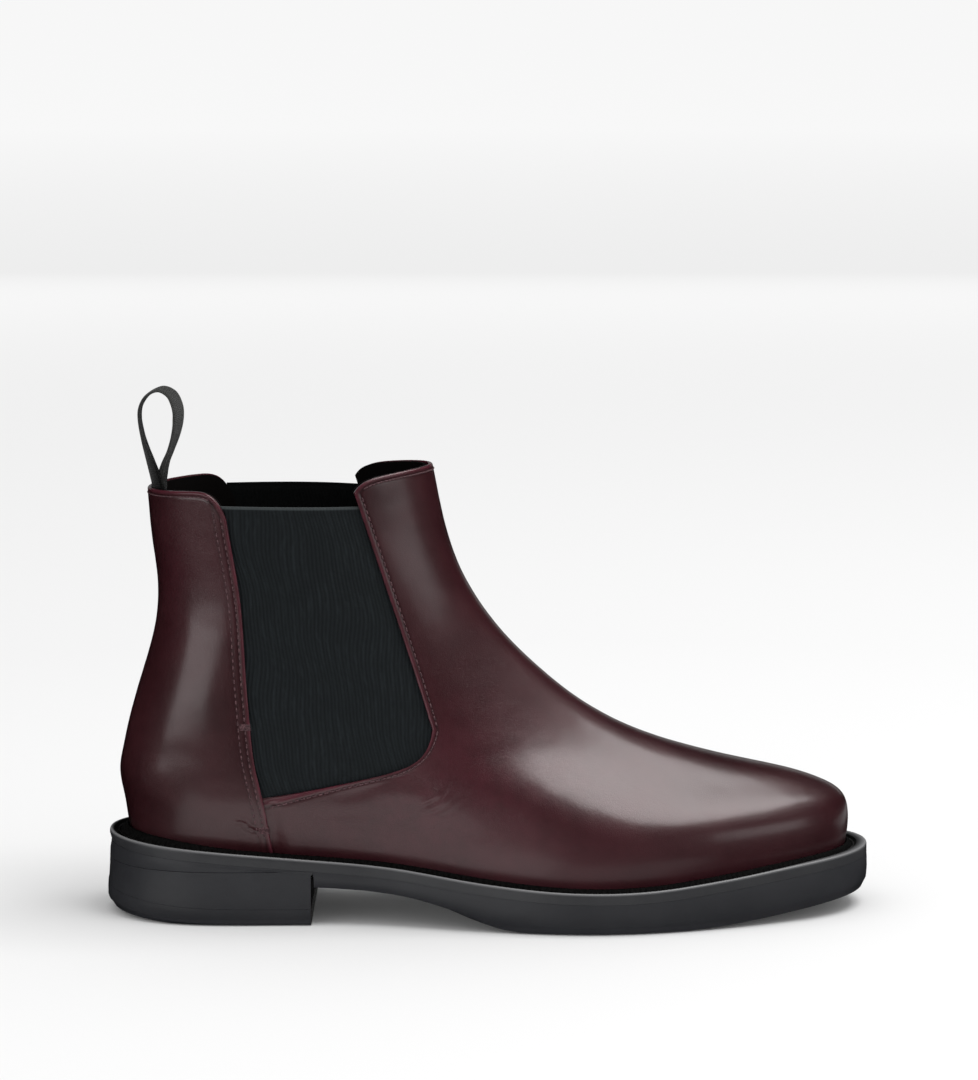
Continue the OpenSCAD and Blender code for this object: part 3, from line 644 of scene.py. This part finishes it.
def vamp_mesh(depth_in, thickness, relief, fine):
    """Lower part round the foot and the front of the shaft, as one sheet."""
    n_foot, n_front, n_low, n_up = (60, 120, 88, 96) if fine else (24, 48, 30, 36)
    foot_length, split_length, shaft_length = 66.0, 62.0, 82.0
    u = edge_lines(foot_length, n_foot)
    foot = gore_address(u, gore_foot(u))
    q = edge_lines(split_length, n_front, low=True, high=False)
    a_front = mix(CORNER_A, 180, q)
    half_a = np.concatenate([foot[0], a_front[1:]])
    half_s = np.concatenate([foot[1], split_s(a_front[1:])])
    swing = np.concatenate([1 - u, np.zeros(len(q) - 1)])
    a_all = np.concatenate([half_a, (360 - half_a[:-1])[::-1]])
    s_all = np.concatenate([half_s, half_s[:-1][::-1]])
    w_all = np.concatenate([swing, swing[:-1][::-1]])
    length = np.maximum(s_all * 7.0, 14)
    v = edge_lines(length, n_low)
    s = v * s_all
    tilt = w_all * (quarter_angle(s) - half_a[0])
    reach = 7.0 * w_all ** 6
    a = np.where(a_all <= 180, a_all + tilt - reach, a_all - tilt + reach)
    low_shape = a.shape
    # front of the shaft, above the split line, with the same columns
    q_up = np.concatenate([-(1 - q), (1 - q[:-1])[::-1]])
    v_up = edge_lines(shaft_length, n_up)
    a0 = mix(CORNER_A, 180, 1 - np.abs(q_up))
    s_low = split_s(a0)
    s_up = mix(s_low[None, :], shaft_top(q_up)[None, :], v_up[:, None])
    s_edge = mix(CORNER_S, shaft_top(1.0), v_up)
    a_edge = gore_angle(s_edge)
    a_edge[0] = CORNER_A
    a_up = mix(a_edge[:, None], 180, 1 - np.abs(q_up)[None, :])
    a_up = np.where(q_up[None, :] < 0, a_up, 360 - a_up)
    a = np.concatenate([a.ravel(), a_up.ravel()])
    s = np.concatenate([s.ravel(), s_up.ravel()])
    faces = np.vstack([grid_faces(*low_shape), grid_faces(*a_up.shape, base=low_shape[0] * low_shape[1])])
    first, faces = merge(shape(a, s), faces)
    faces = np.array([f for f in faces if len(set(f.tolist())) == 4])
    return sheet(a[first], s[first], faces, depth_in, thickness, relief)


def plain_relief(p):
    """No relief, for the linings."""
    zero = np.zeros(len(p))
    return zero, zero, zero


def bend_shaft(obj):
    """Bakes the piece's placement into its mesh; the shaft is not bent."""
    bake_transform(obj)


verts, faces, attributes = vamp_mesh(0, 1.5, vamp_relief, fine=True)
vamp = new_piece("upper_vamp", verts, faces, UPPER, attributes)
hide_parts("vamp", "vamp_shaft")
bend_shaft(vamp)


def quarter_mesh(depth_in, thickness, relief, cols, rows, low=0.0, trim=0.0):
    """Back of the boot from seam to seam, as one sheet; its top edge is cut back by the trim."""
    width, height = 118.0, 140.0
    p = edge_lines(width, cols, low=True) * 2 - 1
    v = edge_lines(height, rows)
    top = quarter_top(p) - trim
    s = mix(low, top[None, :], v[:, None])
    a = p[None, :] * (quarter_angle(s) - trim * 4)
    return sheet(a.ravel(), s.ravel(), grid_faces(*a.shape), depth_in, thickness, relief)


def quarter_relief(p):
    d = np.minimum(distance(p, SEAM_LINE), distance(p, QUARTER_TOP_LINE))
    seam = distance(p, SEAM_LINE)
    swell = 0.10 * noise(p, 34, 8) + 0.03 * noise(p, 13, 9)
    depth = edge_relief(d) + 0.13 * bell(seam - 4.6, 0.5) + swell * smooth((d - 1) / 8)
    depth += crease_depth(p, QUARTER_CREASES) * smooth((d - 1.5) / 3)
    # a soft dent over the counter's top edge
    depth += 0.25 * bell(p[:, 2] - 72 - 0.05 * p[:, 0], 6) * smooth((d - 3) / 12)
    edge = bell(d - 0.2, 0.55) + 0.3 * bell(d - 1.1, 0.5)
    # the third value is painted shade along the stitch rows beside the seam and under the collar
    return depth, edge, bell(d - 2.0, 0.45) * 0.9 + bell(seam - 4.6, 0.4) * 0.6


verts, faces, attributes = quarter_mesh(-0.15, 1.5, quarter_relief, 110, 120)
quarter = new_piece("upper_back_quarter", verts, faces, UPPER, attributes)
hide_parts("back_quarter")
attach(quarter, "root")

verts, faces, attributes = vamp_mesh(2.9, 1.0, plain_relief, fine=False)
front_lining = new_piece("lining_vamp_and_shaft", verts, faces, LINING_PAINTED_SHADE, attributes)
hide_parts("vamp_lining", "shaft_lining")
bend_shaft(front_lining)

verts, faces, attributes = quarter_mesh(2.95, 1.0, plain_relief, 48, 60, low=0.12, trim=0.02)
rear_lining = new_piece("lining_quarter", verts, faces, LINING_PAINTED_SHADE, attributes)
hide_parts("quarter_lining")
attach(rear_lining, "root")

# -------- elastic gores


def gore_mesh(side, cols=300, rows=110):
    """One gore, tucked under the leather beside and below it; side is 1 on the outer side of the boot."""
    u = np.linspace(-0.045, 1.05, cols)
    inside = np.clip(u, 0, 1)
    foot = gore_foot(inside) - 5.0 * smooth(1 - np.abs(inside - 0.5) * 0.2)
    top = GORE_TOP_LATERAL if side > 0 else GORE_TOP_MEDIAL
    near_top = 1 - np.array([3.0, 2.2, 1.5, 1.0, .7, .45, .25, .1, 0]) / 100
    v = np.concatenate([np.linspace(0, 0.965, rows), near_top])
    z = mix(foot[None, :], top, v[:, None])
    a, s = gore_address(np.broadcast_to(u, z.shape), z)
    a = np.clip(a, 0.1, 179)
    arc = u[None, :] * (curve(GORE_EDGE, z) - curve(QUARTER_EDGE, z)) * 1.06
    wander = 0.9 * np.sin(z / 11 + arc / 9) + 0.5 * np.sin(z / 4.7 + arc / 17 + 1.3)
    ribs = 0.06 * np.sin((arc + wander) * 2 * math.pi / RIB_PITCH) * (0.75 + 0.25 * np.sin(z / 7 + arc / 3.1))
    crown = -0.5 * np.sin(math.pi * inside)[None, :] * np.sin(math.pi * v)[:, None] ** 0.5
    binding = -0.25 * smooth((z - (top - BINDING_H)) / 0.5)
    depth = 1.75 + crown - ribs * (z < top - BINDING_H) + binding
    a_out = a if side > 0 else 360 - a
    flat = shape(a_out.ravel(), s.ravel())
    out = normal(a_out.ravel(), s.ravel())
    roll = 0.35 * smooth(1 - (top - z.ravel()) / 0.5)
    outer = flat - (depth.ravel() + roll)[:, None] * out
    inner = flat - (depth.ravel() + 1.05)[:, None] * out
    faces = grid_faces(*z.shape)
    if side < 0:
        faces = faces[:, ::-1]
    skin = len(faces)
    verts, faces = shell(outer, inner, faces)
    uv = np.stack([(arc + wander).ravel(), z.ravel()], -1)
    edge = smooth((z.ravel() - (top - 1.4)) / 0.6)
    return verts, faces, {"edge": np.concatenate([edge, edge])}, np.vstack([uv, uv]), skin


for name, side in (("lateral", 1), ("medial", -1)):
    verts, faces, attributes, uv, skin = gore_mesh(side)
    gore = new_piece("elastic_gore_" + name, verts, faces, ELASTIC, attributes, uv)
    # the inner faces take the near-black painted shade
    gore.data.materials.append(GORE_INSIDE_SHADE)
    face_side = np.zeros(len(faces), np.int32)
    face_side[skin:2 * skin] = 1
    gore.data.polygons.foreach_set("material_index", face_side)
    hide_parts("gore_" + name)
    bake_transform(gore)

# -------- stitching


def resample(path, pitch):
    step = np.linalg.norm(np.diff(path, axis=0), axis=1)
    length = np.concatenate([[0], np.cumsum(step)])
    count = max(int(length[-1] / pitch), 2)
    at = np.linspace(0, length[-1], count + 1)
    return np.stack([np.interp(at, length, path[:, k]) for k in range(path.shape[1])], -1)


def bead(centre, along, side, up, half, rings, ring):
    """Points of one stitch; half holds its half length, half width, half height and the dip of its ends."""
    t = np.linspace(-1, 1, rings)[:, None, None]
    r = np.sqrt(np.maximum(1 - np.abs(t) ** 2.6, 0.02))
    g = np.linspace(0, 2 * math.pi, ring, endpoint=False)[None, :, None]
    body = (centre + t * half[0] * along + r * np.cos(g) * half[1] * side
            + r * np.sin(g) * half[2] * up - t**2 * half[3] * up)
    return body.reshape(-1, 3)


def bead_row(centre, along, side, up, half, rings, ring):
    """Points and faces of one stitch at each centre."""
    count = len(centre)
    verts = [bead(centre[k], along[k], side[k], up[k], half, rings, ring) for k in range(count)]
    faces = [grid_faces(rings, ring, k * rings * ring, wrap=True) for k in range(count)]
    return np.vstack(verts), np.vstack(faces)


def stitches(addresses, pitch, length, thick, depth):
    """Separate stitches along a line of [angle, s] addresses: points and faces."""
    a, s = addresses
    path = resample(np.hstack([layer(a, s, depth), a[:, None], s[:, None]]), pitch)
    mid = (path[1:] + path[:-1]) / 2
    along = unit(path[1:, :3] - path[:-1, :3])
    up = normal(mid[:, 3], mid[:, 4])
    half = (length / 2, thick / 2, thick / 2, thick * 0.35)
    return bead_row(mid[:, :3], along, np.cross(along, up), up, half, 7, 8)


def stitch_piece(name, rows):
    """One piece of burgundy thread from several rows of stitches."""
    verts, faces, base = [], [], 0
    for v, f in rows:
        verts.append(v)
        faces.append(f + base)
        base += len(v)
    return new_piece(name, np.vstack(verts), np.vstack(faces), THREAD)


def both_rows(addresses, **kinds):
    """A row on the outer side and its twin on the inner side."""
    a, s = addresses
    return [stitches((a, s), **kinds), stitches((360 - a, s), **kinds)]


def side_row(line, inset, low, high):
    """Addresses of a row beside one of the gore's upright edges."""
    z = np.linspace(low, high, 240)
    return address(curve(line, z) + inset, z)


# Sizes of the stitches on the upper, in millimetres
STITCH = dict(pitch=2.7, length=2.1, thick=0.66, depth=-0.08)
rows = both_rows(side_row(QUARTER_EDGE, -1.95, 33.5, 160), **STITCH)
rows += both_rows(side_row(QUARTER_EDGE, -4.6, 33.5, 162.5), **STITCH)
quarter_stitches = stitch_piece("stitches_quarter_seam", rows)
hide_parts("quarter_stitching")
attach(quarter_stitches, "root")

u = np.linspace(0.03, 0.9995, 300)
x, z = gore_point(u, gore_foot(u)), gore_foot(u)
along = unit(np.stack([np.gradient(x), np.gradient(z)], -1))
vamp_row = address(x + 2.1 * along[:, 1], z - 2.1 * along[:, 0])
vamp_stitches = stitch_piece("stitches_gore_foot", both_rows(vamp_row, **STITCH))
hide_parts("vamp_stitching")
bend_shaft(vamp_stitches)

rows = both_rows(side_row(GORE_EDGE, 2.15, GORE_CORNER_Z + 1.0, 168), **STITCH)
q = np.linspace(-0.93, 0.93, 300)
s = shaft_top(q) - 0.125
a = mix(gore_angle(s), 180, 1 - np.abs(q))
rows.append(stitches((np.where(q < 0, a, 360 - a), s), **STITCH))
shaft_stitches = stitch_piece("stitches_front_shaft", rows)
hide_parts("shaft_stitching")
bend_shaft(shaft_stitches)

p = np.linspace(-0.9, 0.9, 300)
s = quarter_top(p) - 0.125
collar_row = stitches((p * quarter_angle(s), s), **STITCH)
collar_stitches = stitch_piece("stitches_rear_collar", [collar_row])
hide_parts("collar_stitching")
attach(collar_stitches, "root")

rows = []
for height in (36.5, 78):
    for k in range(-2, 3):
        z = height + 0.5 * k
        x = curve(QUARTER_EDGE, z) - np.linspace(3.6, 0.3, 20)
        rows += both_rows(address(x, z), pitch=3.2, length=3.1, thick=0.5, depth=-0.15)
bartacks = stitch_piece("seam_bartack_threads", rows)
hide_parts("seam_bartacks")
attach(bartacks, "root")

# -------- pull tab

TAB_ROOT = np.array([-131.1, CENTRE_SHIFT, 168.2])
# The tape's middle line above its root: up the back strand, over the top and down the front strand
TAB_RISE = np.array([
    [-0.75, -14], [-0.75, -6], [-0.75, 0], [-1.5, 4], [-3.2, 11], [-5.0, 19], [-6.0, 26],
    [-5.5, 31.5], [-2.6, 36.2], [2.2, 38.4], [6.6, 36.4], [8.9, 31.6], [9.2, 26.6],
    [8.1, 21], [5.7, 14.6], [3.0, 9.0], [1.3, 4], [0.75, 0], [0.75, -6], [0.75, -14],
])
# Turn of the tape about the vertical, in degrees, and how far its edges curl forward with the collar
TAB_TURN = [0, 0, 0, -1, -3, -3, -2, 0, 4, 8, 10, 11, 11, 9, 6, 4, 2, 0, 0, 0]
TAB_CURL = [3.0, 3.2, 3.4, 3.2, 2.4, 1.0, 0.3, 0, 0, 0, 0, 0, 0, 0.3, 0.8, 1.8, 2.8, 3.2, 3.0, 2.9]


def catmull(points, steps):
    """Smooth curve through the points."""
    n = len(points) - 1
    out = []
    for k in range(n):
        a, b, c, d = points[max(k - 1, 0)], points[k], points[k + 1], points[min(k + 2, n)]
        for t in np.linspace(0, 1, steps, endpoint=False):
            out.append(0.5 * (2 * b + (c - a) * t + (2 * a - 5 * b + 4 * c - d) * t**2
                              + (3 * b - a - 3 * c + d) * t**3))
    out.append(points[-1])
    return np.array(out)


def tape_mesh(width, thick):
    """The loop of tape; its attribute darkens it as painted shade on the back strand and toward both roots.
    """
    line = catmull(TAB_RISE, 14)
    step = np.concatenate([[0], np.cumsum(np.linalg.norm(np.diff(line, axis=0), axis=1))])
    x = line[:, 0]
    knot = np.linspace(0, len(TAB_RISE) - 1, len(x))
    turn = np.radians(np.interp(knot, range(len(TAB_RISE)), TAB_TURN))
    curl = np.interp(knot, range(len(TAB_RISE)), TAB_CURL)
    centre = np.stack([TAB_ROOT[0] + x, np.full(len(x), TAB_ROOT[1]), TAB_ROOT[2] + line[:, 1]], -1)
    along = unit(np.gradient(centre, axis=0))
    across = np.stack([np.sin(turn), np.cos(turn), 0 * turn], -1)
    across = unit(across - (across * along).sum(-1, keepdims=True) * along)
    up = np.cross(along, across)
    # section: a flat tape with rounded selvedges
    half = np.linspace(-1, 1, 15)
    edge = np.sqrt(np.maximum(1 - np.abs(half) ** 14, 0.0))
    top = np.stack([half * width / 2, edge * thick / 2], -1)
    loop = np.vstack([top, top[::-1][1:-1] * [1, -1]])
    sag = 0.25 * np.sin(np.linspace(0, 9, len(x)))[:, None] * (loop[:, 0] / width)[None, :] ** 2
    verts = (centre[:, None, :] + loop[None, :, 0:1] * across[:, None, :]
             + (loop[None, :, 1] + sag)[..., None] * up[:, None, :])
    verts[..., 0] += curl[:, None] * (loop[None, :, 0] * 2 / width) ** 2
    rows, cols = len(x), len(loop)
    faces = grid_faces(rows, cols, wrap=True).tolist()
    faces.append(list(range(cols))[::-1])
    faces.append([(rows - 1) * cols + i for i in range(cols)])
    uv = np.stack(np.broadcast_arrays(loop[:, 0], step[:, None]), -1)
    # painted shade along the loop: dark up the back strand and at both roots, light over the top and the
    # front strand
    tape_shade = np.interp(knot, [0, 3, 6, 8.5, 11, 14, 15.5, 17, 19], [1, 0.9, 0.75, 0.45, 0.05, 0, 0.1, 0.8, 1])
    return verts.reshape(-1, 3), faces, uv.reshape(-1, 2), {"painted_shade": np.repeat(tape_shade, cols)}


verts, faces, uv, attributes = tape_mesh(16, 1.15)
tape = new_piece("pull_tab_tape", verts, faces, TAPE, attributes, uv, 50)
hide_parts("pull_tab", "pull_tab_ends")
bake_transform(tape)

# -------- sole


def foot_x(a):
    return mix(FOOT_BACK, FOOT_FRONT, (1 - cosd(a)) / 2)


def foot_angle(x):
    return math.degrees(math.acos(1 - 2 * (x - FOOT_BACK) / (FOOT_FRONT - FOOT_BACK)))


def level(a, e, z):
    """Featherline moved outwards by e in plan, at height z."""
    p = shape(a, 0)
    d = shape(a + 0.8, 0) - shape(a - 0.8, 0)
    n = unit(np.stack([d[..., 1], -d[..., 0]], -1))
    e, z = np.broadcast_to(e, a.shape), np.broadcast_to(z, a.shape)
    return np.stack([p[..., 0] + e * n[..., 0], p[..., 1] + e * n[..., 1], z], -1)


def ridge_s(a, rise):
    """Height s on the upper's surface at the given rise above the welt's line."""
    lo, hi = np.zeros(a.shape), np.full(a.shape, 2.5)
    target = welt_z(foot_x(a)) + rise
    for _ in range(20):
        m = (lo + hi) / 2
        below = shape(a, m)[..., 2] < target
        lo, hi = np.where(below, m, lo), np.where(below, hi, m)
    return lo


def even_angles(count):
    """Angles that are evenly spaced along the welt's edge."""
    a = np.linspace(0, 360, 4001)
    p = level(a, WELT_W, 0)
    d = np.concatenate([[0], np.cumsum(np.linalg.norm(np.diff(p, axis=0), axis=1))])
    return np.interp(np.linspace(0, d[-1], count, endpoint=False), d, a), d[-1]


def welt_band(name, rings, attributes, plain):
    """Closed band of rings along the sole's edge; faces past the plain rows have the near-black crevice
    material, which is painted shade.
    """
    m, n = len(rings), len(rings[0])
    faces = grid_faces(m, n, wrap=True).tolist()
    last = (m - 1) * n
    faces += [[last + i, last + (i + 1) % n, (i + 1) % n, i] for i in range(n)]
    obj = new_piece(name, np.vstack(rings), faces, WELT_MAT, attributes, None, 40)
    obj.data.materials.append(CREVICE_SHADE_MAT)
    obj.data.polygons.foreach_set("material_index", np.repeat(np.arange(m) >= plain, n).astype(np.int32))
    return obj


WELT_STEPS, PERIMETER = even_angles(1500)
TEETH = round(PERIMETER / 2.3)


def ridge_rise(a):
    """Height of the toothed ridge over the welt's line, tallest round the heel."""
    return 0.6 + 1.4 * smooth((-96 - foot_x(a)) / 36)


def lip_width(a):
    """Width of the lip along the welt's outer edge, broadest round the toe."""
    return 1.3 + 2.4 * smooth((foot_x(a) - 96) / 40)


def welt_trough(a):
    """The trough between the lip and the ridge: its outer side, its inner side and the ridge's s."""
    s = ridge_s(a, ridge_rise(a))
    return level(a, WELT_W - lip_width(a), welt_z(foot_x(a)) - 0.3), layer(a, s, -0.75), s


def welt_profile(a):
    """Section of the welt from its lower outer corner up over the lip, in to the ridge and down."""
    z = welt_z(foot_x(a))
    notch = (0.5 + 0.5 * np.cos(2 * math.pi * TEETH * np.arange(len(a)) / len(a))) ** 3
    waist = 0.75 * smooth((-126 - foot_x(a)) / 14)
    lip, foot, s = welt_trough(a)
    # each ring of the side wall and the lip: outward offset, height, the painted highlight along the lip's
    # rounded top, and the painted shade where the lip falls into the trough
    wall = [(0.29 - waist, 0.01 - WELT_T, 0, 0), (0.3 - waist, 0.5 - WELT_T, 0, 0),
            (0.3 - waist * 0.5, 1.3 - WELT_T, 0, 0), (0.3, -1.7, 0, 0), (0.28, -1.0, 0, 0),
            (0.18, -0.5, 0.3, 0), (-0.05, -0.14, 0.8, 0), (-0.4, 0.02, 0.8, 0),
            (-lip_width(a) * 0.7, -0.02, 0.1, 0.2)]
    rings = [level(a, WELT_W + out, z + rise) for out, rise, _, _ in wall] + [lip]
    for t, drop, grip in ((0.10, 0.8, 0.0), (0.24, 1.5, 0.0), (0.40, 1.7, 0.2), (0.5, 1.5, 0.6),
                          (0.6, 1.0, 0.9), (0.7, 0.55, 0.9), (0.8, 0.2, 0.6), (0.9, 0.0, 0.2)):
        p = mix(lip, foot, t)
        p[:, 2] -= drop + grip * notch
        rings.append(p)
    rings.append(foot + np.array([0, 0, -0.05]))
    rings.append(layer(a, s * 0.85, -0.32))
    rings.append(layer(a, s * 0.4, -0.3))
    rings.append(level(a, 0.4, z - WELT_T + 0.01))
    hidden = len(rings) - len(wall)
    edge = [w[2] for w in wall] + [0] * hidden
    painted_shade = [w[3] for w in wall] + [0.8] + [0] * (hidden - 1)
    return rings, {"edge": np.repeat(edge, len(a)), "painted_shade": np.repeat(painted_shade, len(a))}, len(wall)


welt = welt_band("welt_strip", *welt_profile(WELT_STEPS))
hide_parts("welt")
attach(welt, "root")

lip, foot, _ = welt_trough(even_angles(TEETH)[0])
mid = mix(lip, foot, 0.36)
mid[:, 2] -= 1.35
following = np.roll(mid, -1, axis=0)
along = unit(following - mid)
side = unit(np.cross(along, [0, 0, 1.0]))
verts, faces = bead_row((mid + following) / 2, along, side, np.cross(side, along), (1.0, 0.42, 0.36, 0), 6, 7)
welt_stitches = new_piece("welt_lockstitch", verts, faces, WELT_THREAD)
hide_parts("welt_stitching")
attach(welt_stitches, "root")


def capped_stack(name, rings, edge, across=20):
    """Closed rubber solid of rings from bottom to top, each with its "edge" value.

    Each cap is a grid from the outer to the inner side.
    """
    n = rings[0].shape[0]
    h = n // 2
    verts = np.vstack(rings)
    faces = grid_faces(len(rings), n, wrap=True).tolist()
    extra, base = [], len(verts)
    for which, flip in ((0, False), (len(rings) - 1, True)):
        ring, start = rings[which], which * n
        index = np.zeros((h + 1, across + 1), int)
        for i in range(h + 1):
            a, b = i, (n - i) % n
            index[i, 0], index[i, -1] = start + a, start + b
            if a == b:
                index[i, :] = start + a
                continue
            for k in range(1, across):
                index[i, k] = base + len(extra)
                extra.append(mix(ring[a], ring[b], k / across))
        for i in range(h):
            for k in range(across):
                f = [index[i, k], index[i + 1, k], index[i + 1, k + 1], index[i, k + 1]]
                f = [v for j, v in enumerate(f) if v not in f[:j]]
                if len(f) > 2:
                    faces.append(f[::-1] if flip else f)
    verts = np.vstack([verts, np.array(extra)])
    attributes = {"edge": np.concatenate([np.repeat(edge, n), np.zeros(len(extra))])}
    return new_piece(name, verts, faces, SOLE_MAT, attributes, None, 38)


sole_half = np.concatenate([np.linspace(0, foot_angle(BREAST_X - 0.25), 80),
                            np.linspace(foot_angle(BREAST_X + 0.25), 180, 150)])
sole_steps = np.concatenate([sole_half, 360 - sole_half[1:-1][::-1]])
sole_x = foot_x(sole_steps)
under_heel = sole_x < BREAST_X
top_z = welt_z(sole_x) - WELT_T - 0.02
middle_z = mix(np.where(under_heel, HEEL_SEAT_Z, curve(EDGE_LINE, sole_x)), top_z, 0.45)
waist = 0.65 * smooth((-126 - sole_x) / 14)


def sole_level(out, line, rise=0.0):
    """Ring of the sole's underside, which runs flat over the heel block."""
    z = np.maximum(curve(line, sole_x), 0) + rise
    return level(sole_steps, WELT_W + out, np.where(under_heel, HEEL_SEAT_Z + 0.02 * rise, z))


outsole = capped_stack("outsole_rubber", [
    sole_level(-6, TREAD_LINE),
    sole_level(-3.2, TREAD_LINE),
    sole_level(-1.4, TREAD_LINE, 0.45),
    sole_level(-0.3, EDGE_LINE, -0.35),
    sole_level(0.12, EDGE_LINE, 0.35),
    sole_level(0.3, EDGE_LINE, 1.4),
    level(sole_steps, WELT_W + 0.5 - waist * 0.5, middle_z),
    level(sole_steps, WELT_W + 0.4 - waist, top_z - 1.2),
    level(sole_steps, WELT_W + 0.32 - waist, top_z - 0.45),
    level(sole_steps, WELT_W + 0.30 - waist, top_z - 0.04),
    level(sole_steps, WELT_W - 1.0, top_z),
    level(sole_steps, -1, top_z),
], [0, 0, 0.05, 0.1, 0.1, 0, 0, 0, 0, 0, 0, 0])
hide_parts("outsole")
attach(outsole, "root")

heel_half = np.linspace(0, foot_angle(BREAST_X - 1), 90)


def heel_level(out, line, rise=0.0):
    """Ring of the heel, closed by the bowed breast; without a line it is level, at height rise."""
    z = np.maximum(curve(line, foot_x(heel_half)), 0) + rise if line else np.full(heel_half.shape, rise)
    outer, inner = level(heel_half, WELT_W + out, z), level(360 - heel_half, WELT_W + out, z)
    t = np.linspace(0, 1, 33)[1:-1, None]
    breast = mix(outer[-1], inner[-1], t) - np.array([3.0, 0, 0]) * np.sin(math.pi * t)
    breast[:, 0] += min(out, 0) * 0.4
    return np.vstack([outer, breast, inner[1:][::-1]])


heel_block = capped_stack("heel_block_rubber", [
    heel_level(1.02, HEEL_EDGE_LINE, 6.01),
    heel_level(1.12, HEEL_EDGE_LINE, 6.05),
    heel_level(1.08, HEEL_EDGE_LINE, 6.8),
    heel_level(0.75, None, 13.0),
    heel_level(0.42, None, 17.8),
    heel_level(0.33, None, 20.0),
    heel_level(0.3, None, 21.12),
    heel_level(0.2, None, 21.2),
], [0] * 8)
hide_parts("heel_block")
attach(heel_block, "root")

top_piece = capped_stack("heel_top_lift", [
    heel_level(-3.0, HEEL_TREAD_LINE),
    heel_level(-1.2, HEEL_TREAD_LINE, 0.12),
    heel_level(0.2, HEEL_EDGE_LINE, -0.25),
    heel_level(0.85, HEEL_EDGE_LINE, 0.3),
    heel_level(1.2, HEEL_EDGE_LINE, 1.3),
    heel_level(1.2, HEEL_EDGE_LINE, 4.6),
    heel_level(1.13, HEEL_EDGE_LINE, 5.95),
    heel_level(1.02, HEEL_EDGE_LINE, 5.99),
], [0, 0, 0.1, 0.2, 0.05, 0, 0, 0])
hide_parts("heel_top_piece")
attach(top_piece, "root")

# -------- carried-over CAD pieces

CARRIED = {
    "lasting_margin": UPPER, "heel_counter": BOARD, "toe_puff": BOARD, "insole_board": BOARD,
    "sock_liner": LINING_PAINTED_SHADE, "shank": STEEL, "bottom_filler": CORK, "heel_nails": STEEL,
}
for name, material in CARRIED.items():
    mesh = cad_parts[name].data
    mesh.materials.clear()
    mesh.materials.append(material)

# -------- floor, light and camera


def studio_floor():
    """Wide pale paper floor that fills the view and glows faintly toward the back."""
    mesh = bpy.data.meshes.new("studio_floor")
    mesh.from_pydata([(-30, -12, 0), (30, -12, 0), (30, 48, 0), (-30, 48, 0)], [], [(0, 1, 2, 3)])
    m = Nodes("studio_paper")
    reach = m.add("ShaderNodeVectorMath", {0: m.place()}, operation="LENGTH").outputs["Value"]
    glow = m.map(m.math("POWER", reach, 0.5), 0.8, 2.3, 0.03, 0.33)
    m.set(Base_Color=grey(0.80), Roughness=1.0, Specular_IOR_Level=0.0,
          Emission_Color=grey(1), Emission_Strength=glow)
    mesh.materials.append(m.material)
    floor = link("studio_floor", mesh)
    floor.visible_glossy = False


studio_floor()


def softbox(name, azimuth, elevation, reach, width, height, radiance):
    """Rectangular light aimed at the boot; azimuth 0 is the camera's side, positive to the right."""
    a, e = math.radians(azimuth), math.radians(elevation)
    target = np.array([0.0, 0.0, 0.08])
    d = np.array([math.sin(a) * math.cos(e), -math.cos(a) * math.cos(e), math.sin(e)])
    data = bpy.data.lights.new(name, "AREA")
    data.shape = "RECTANGLE"
    data.size, data.size_y = width, height
    data.energy = radiance * width * height * math.pi
    obj = link(name, data)
    obj.location = target + d * reach
    obj.rotation_euler = (math.radians(90 - elevation), 0, a)
    return obj


softbox("overhead_softbox", 78, 67, 1.9, 1.5, 0.9, 5.0)
softbox("left_softbox", -47, 6, 2.0, 1.6, 0.5, 2.2)
softbox("right_softbox", 58, 11, 2.0, 0.7, 0.6, 1.6)
softbox("rear_wall_glow", 180, 8, 2.8, 3.2, 0.5, 0.4)


def floor_card(name, x, y, width, depth, radiance):
    """White card lying beside the boot, out of the camera's sight."""
    card = softbox(name, 0, 0, 0.0, width, depth, radiance)
    card.location = (x, y, 0.002)
    card.rotation_euler = (math.pi, 0, 0)
    card.visible_camera = False


floor_card("heel_side_card", -0.085, -0.105, 0.19, 0.07, 0.75)
floor_card("vamp_side_card", 0.07, -0.100, 0.13, 0.05, 0.4)
floor_card("toe_card", 0.42, 0.22, 0.36, 0.30, 0.4)

world = bpy.data.worlds.new("studio_air")
world.use_nodes = True
world.node_tree.nodes["Background"].inputs[0].default_value = grey(1)
world.node_tree.nodes["Background"].inputs[1].default_value = 0.75
world.cycles_visibility.glossy = False
bpy.context.scene.world = world

# Camera: place in metres, tilt below level in degrees, lens and sensor width in millimetres
CAMERA_PLACE, CAMERA_TILT = (0, -1.826, 0.415), 8.35
CAMERA_LENS, SENSOR_W = 156.33, 36

camera = bpy.data.cameras.new("camera")
camera.sensor_width = SENSOR_W
camera.lens = CAMERA_LENS
camera.clip_end = 90
camera.dof.use_dof = False
eye = link("camera", camera)
eye.location = CAMERA_PLACE
eye.rotation_euler = (math.radians(90 - CAMERA_TILT), 0, 0)
bpy.context.scene.camera = eye
bpy.context.scene.view_settings.view_transform = "Standard"
